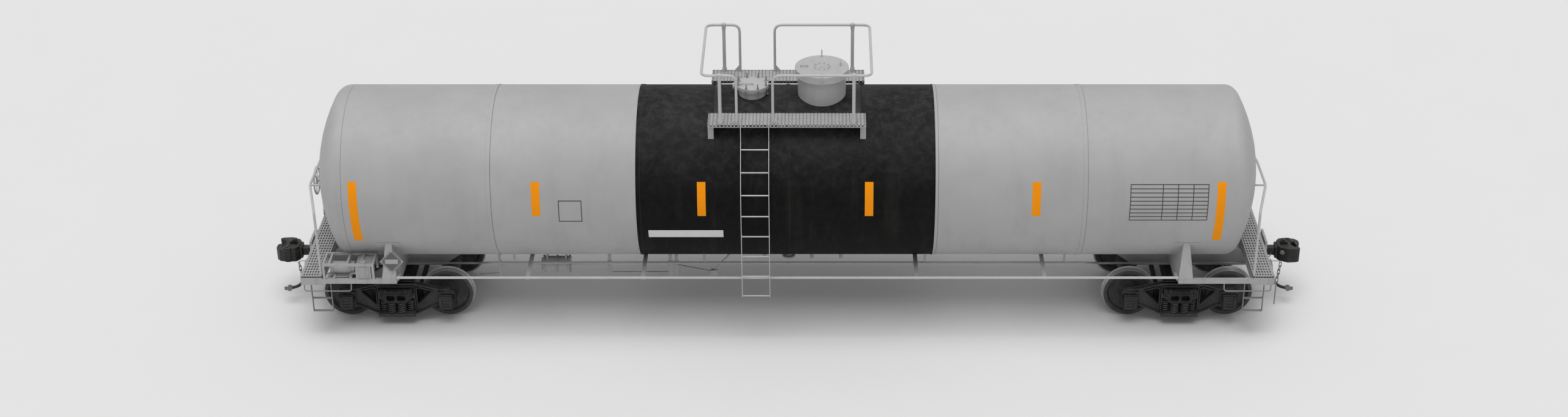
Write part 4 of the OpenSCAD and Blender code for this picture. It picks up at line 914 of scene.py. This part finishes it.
def coupler(end, s):
    """Shank, blocky head with ribs and guard arm, lugs over and under the knuckle, and the lock lifter."""
    piece = Piece(f"coupler_casting_{end}", m_coupler, f"coupler_{end}", "coupler_black", [f"coupler_{end}"])
    turn = Matrix.Identity(4) if s > 0 else Matrix.Rotation(math.pi, 4, "Z")

    def level(z):
        return turn @ Matrix.Translation((HEAD_X, 0, z))

    head = [(0.145, -0.09), (0.185, -0.155), (0.33, -0.228), (0.50, -0.212), (0.545, -0.18), (0.53, -0.14),
            (0.45, -0.12), (0.40, -0.06), (0.395, 0.04), (0.40, 0.075),
            (0.33, 0.10), (0.30, 0.19), (0.21, 0.185), (0.145, 0.10)]
    piece.extrude(round_loop(head, 0.018), 2 * HEAD_HALF - 0.03, level(COUPLER_Z - HEAD_HALF + 0.015), 0.012)
    rib = [(0.14, -0.092), (0.182, -0.162), (0.33, -0.236), (0.505, -0.219), (0.505, -0.14), (0.38, -0.06),
           (0.38, 0.04), (0.30, 0.10), (0.30, 0.195), (0.207, 0.192), (0.14, 0.10)]
    for z in (-HEAD_HALF, -0.062, 0.034, HEAD_HALF - 0.028):
        piece.extrude(round_loop(head if abs(z) > 0.1 else rib, 0.018),
                      0.028, level(COUPLER_Z + z), 0.008)
    lug = [(0.30, 0.08), (0.40, 0.07), (0.43, 0.11), (0.43, 0.18), (0.39, 0.21), (0.30, 0.202)]
    for z in (COUPLER_Z - HEAD_HALF, COUPLER_Z + HEAD_HALF - 0.021):
        piece.extrude(round_loop(lug, 0.02), 0.021, level(z), 0.005)
    # shank, its eye round the draft pin, and the collar behind the head
    piece.box((PIN_X + 0.075, -0.062, COUPLER_Z - 0.078), (HEAD_X + 0.16, 0.062, COUPLER_Z + 0.078), 0.016, turn, 3)
    eye = [(0.046, -0.078), (0.098, -0.078), (0.098, 0.078), (0.046, 0.078)]
    piece.lathe(eye, turn @ Vector((PIN_X, 0, COUPLER_Z)), segments=48)
    piece.box((HEAD_X + 0.105, -0.105, COUPLER_Z - 0.118), (HEAD_X + 0.155, 0.105, COUPLER_Z + 0.118), 0.018, turn, 3)
    # knuckle pin
    pin = turn @ Vector((HEAD_X + 0.374, 0.142, COUPLER_Z - HEAD_HALF - 0.012))
    piece.disc(pin, (0, 0, 1), 0.0205, 2 * HEAD_HALF + 0.024, 20, 0.003)
    piece.disc(pin + Vector((0, 0, 2 * HEAD_HALF + 0.013)), (0, 0, 1), 0.034, 0.02, 20, 0.006)
    # lock lifter: a hooked lug that stands up on the head
    lifter = [(0.20, 0.0), (0.34, 0.0), (0.335, 0.05), (0.29, 0.065), (0.285, 0.10), (0.215, 0.10), (0.20, 0.05)]
    lifter_at = turn @ Matrix.Translation((HEAD_X, 0.03, COUPLER_Z + HEAD_HALF - 0.004)) @ upright(0)
    piece.extrude(round_loop(lifter, 0.012), 0.075, lifter_at, 0.008)
    piece.done()

    plate = Piece(f"coupler_disc_{end}", m_chain, f"coupler_{end}", "coupler_black")
    plate.disc(turn @ Vector((HEAD_X + 0.222, -0.196, COUPLER_Z + 0.065)),
               turn.to_3x3() @ Vector((-0.45, -1, 0)), 0.044, 0.03, 28, 0.008)
    plate.done()


CHAIN_Y = -0.385
for end, s in ENDS:
    coupler(end, s)
    chain_piece = Piece(f"hose_chain_{end}", m_chain, "car", "coupler_black")
    chain_x = 8.935 if end == "a" else 8.885
    chain(chain_piece, (s * (chain_x + 0.01), CHAIN_Y, 0.86), (s * (chain_x - 0.03), CHAIN_Y, 0.46), 5, 0.015)
    chain_piece.done()
    bracket = Piece(f"hose_bracket_{end}", m_pipe, "car", "pipe_grey")
    bracket.tube(rounded([(s * 8.665, CHAIN_Y, 0.86), (s * 8.78, CHAIN_Y, 0.895),
                          (s * (chain_x - 0.01), CHAIN_Y, 0.89), (s * (chain_x + 0.01), CHAIN_Y, 0.855)], 0.05),
                 0.009, 10)
    bracket.done()

# ---- Brake cylinder, rack and valve pipes ----

cyl_low, cyl_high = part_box("brake_cylinder")
CYL_Y, CYL_Z, FLANGE_BOLTS_R = (cyl_low.y + cyl_high.y) / 2, 0.963, 0.146
details = Piece("brake_cylinder_flanges", m_pipe, "car", "pipe_grey")
CYL_END, CYL_MIDDLE, CYL_HEAD = -4.40, -4.17, -3.95
for x in (CYL_END, CYL_MIDDLE, CYL_HEAD):
    details.lathe([(0.12, -0.011), (0.158, -0.011), (0.158, 0.011), (0.12, 0.011)], (x, CYL_Y, CYL_Z), (1, 0, 0), 40)
for x, w in ((CYL_END, -1), (CYL_HEAD, 1)):
    for k in range(8):
        a = 2 * math.pi * (k + 0.5) / 8
        place = (x + w * 0.011, CYL_Y + FLANGE_BOLTS_R * math.cos(a), CYL_Z + FLANGE_BOLTS_R * math.sin(a))
        details.bolt(place, (w, 0, 0), 0.022, 0.013)
details.done()

rack_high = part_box("brake_rack")[1]
pipes = Piece("brake_valve_pipes", m_pipe, "car", "pipe_grey")
valve_x0, valve_x1 = rack_high.x - 0.33, rack_high.x - 0.06
for k, y in enumerate((-1.42, -1.35, -1.28)):
    step = 0.05 * k
    pipes.tube(rounded([(valve_x0 - 0.01, y, 1.24 + step), (valve_x0 - 0.09, y, 1.24 + step),
                        (valve_x0 - 0.13, y, 1.18), (valve_x0 - 0.40 - step, y, 1.175),
                        (valve_x0 - 0.45 - step, y, 1.14)], 0.06), 0.013, 10)
    pipes.disc((valve_x0 - 0.035, y, 1.24 + step), (1, 0, 0), 0.022, 0.03, 6)
for x in (-8.04, -7.74):
    pipes.lathe([(0.10, -0.015), (0.112, -0.015), (0.112, 0.015), (0.10, 0.015)], (x, -1.28, 1.292), (1, 0, 0), 36)
cover = [(valve_x0 + 0.03, 1.18), (valve_x1 - 0.03, 1.18), (valve_x1 - 0.03, 1.40), (valve_x0 + 0.03, 1.40)]
pipes.extrude(round_loop(cover, 0.03), 0.016, upright(-1.486), 0.004)
for x in (valve_x0 + 0.055, valve_x1 - 0.055):
    for z in (1.205, 1.375):
        pipes.bolt((x, -1.500, z), (0, -1, 0), 0.02, 0.01)
pipes.disc((valve_x0 + 0.135, -1.42, 1.44), (0, 0, 1), 0.06, 0.05, 28, 0.01)
pipes.done()

# ---- Hand brake chain, from the gear case down to the ring on the platform's edge ----

GUIDE_X, GUIDE_Y, GUIDE_Z, GUIDE_R = -8.622, 0.80, 1.24, 0.045
ring = Piece("hand_brake_ring", m_pipe, "car", "pipe_grey")
loop = [(GUIDE_X, GUIDE_Y + GUIDE_R * math.cos(t), GUIDE_Z + GUIDE_R * math.sin(t))
        for t in (2 * math.pi * k / 24 for k in range(24))]
ring.tube(loop, 0.009, 10, closed=True)
chain(ring, (-8.600, GUIDE_Y, 1.740), (GUIDE_X, GUIDE_Y, 1.280), 8, 0.010)
ring.done()

# ---- Air hoses ----

HOSE_D = 0.054
HOSE_ROUTE = [(8.790, -0.350, 0.740), (8.798, -0.350, 0.695), (8.808, -0.350, 0.650), (8.820, -0.350, 0.605),
              (8.833, -0.350, 0.560), (8.848, -0.350, 0.515), (8.866, -0.350, 0.470), (8.888, -0.350, 0.428),
              (8.916, -0.350, 0.390), (8.950, -0.350, 0.358), (8.990, -0.350, 0.334), (9.034, -0.350, 0.318),
              (9.080, -0.350, 0.308)]


def smooth_route(points, steps=4):
    """Catmull-Rom curve through the points."""
    p = [Vector(q) for q in points]
    p = [2 * p[0] - p[1]] + p + [2 * p[-1] - p[-2]]
    out = []
    for a, b, c, d in zip(p, p[1:], p[2:], p[3:]):
        for k in range(steps):
            t = k / steps
            out.append(0.5 * (2 * b + (c - a) * t + (2 * a - 5 * b + 4 * c - d) * t * t
                              + (3 * b - a - 3 * c + d) * t ** 3))
    out.append(p[-2])
    return out


for end, s in ENDS:
    route = [(s * x, y, z) for x, y, z in HOSE_ROUTE]
    piece = Piece(f"hose_{end}", m_hose, slot="hose_rubber", replaces=[f"air_hose_{end}"])
    piece.tube(smooth_route(route), HOSE_D / 2, 20)
    hose = piece.done()

# ---- Floor ----

bpy.ops.mesh.primitive_plane_add(size=400, location=(0, 0, FLOOR))
floor = bpy.context.object
floor.name = "floor"
floor_material = Nodes("floor_pale")
mottle = floor_material.span(floor_material.noise(0.6, 3), 0.3, 0.7)
floor_material.link(floor_material.mix(mottle, grey(0.775), grey(0.781)), floor_material.shader.inputs["Base Color"])
floor_material.shader.inputs["Roughness"].default_value = 0.95
floor_material.shader.inputs["Specular IOR Level"].default_value = 0.0
floor.data.materials.append(floor_material.material)
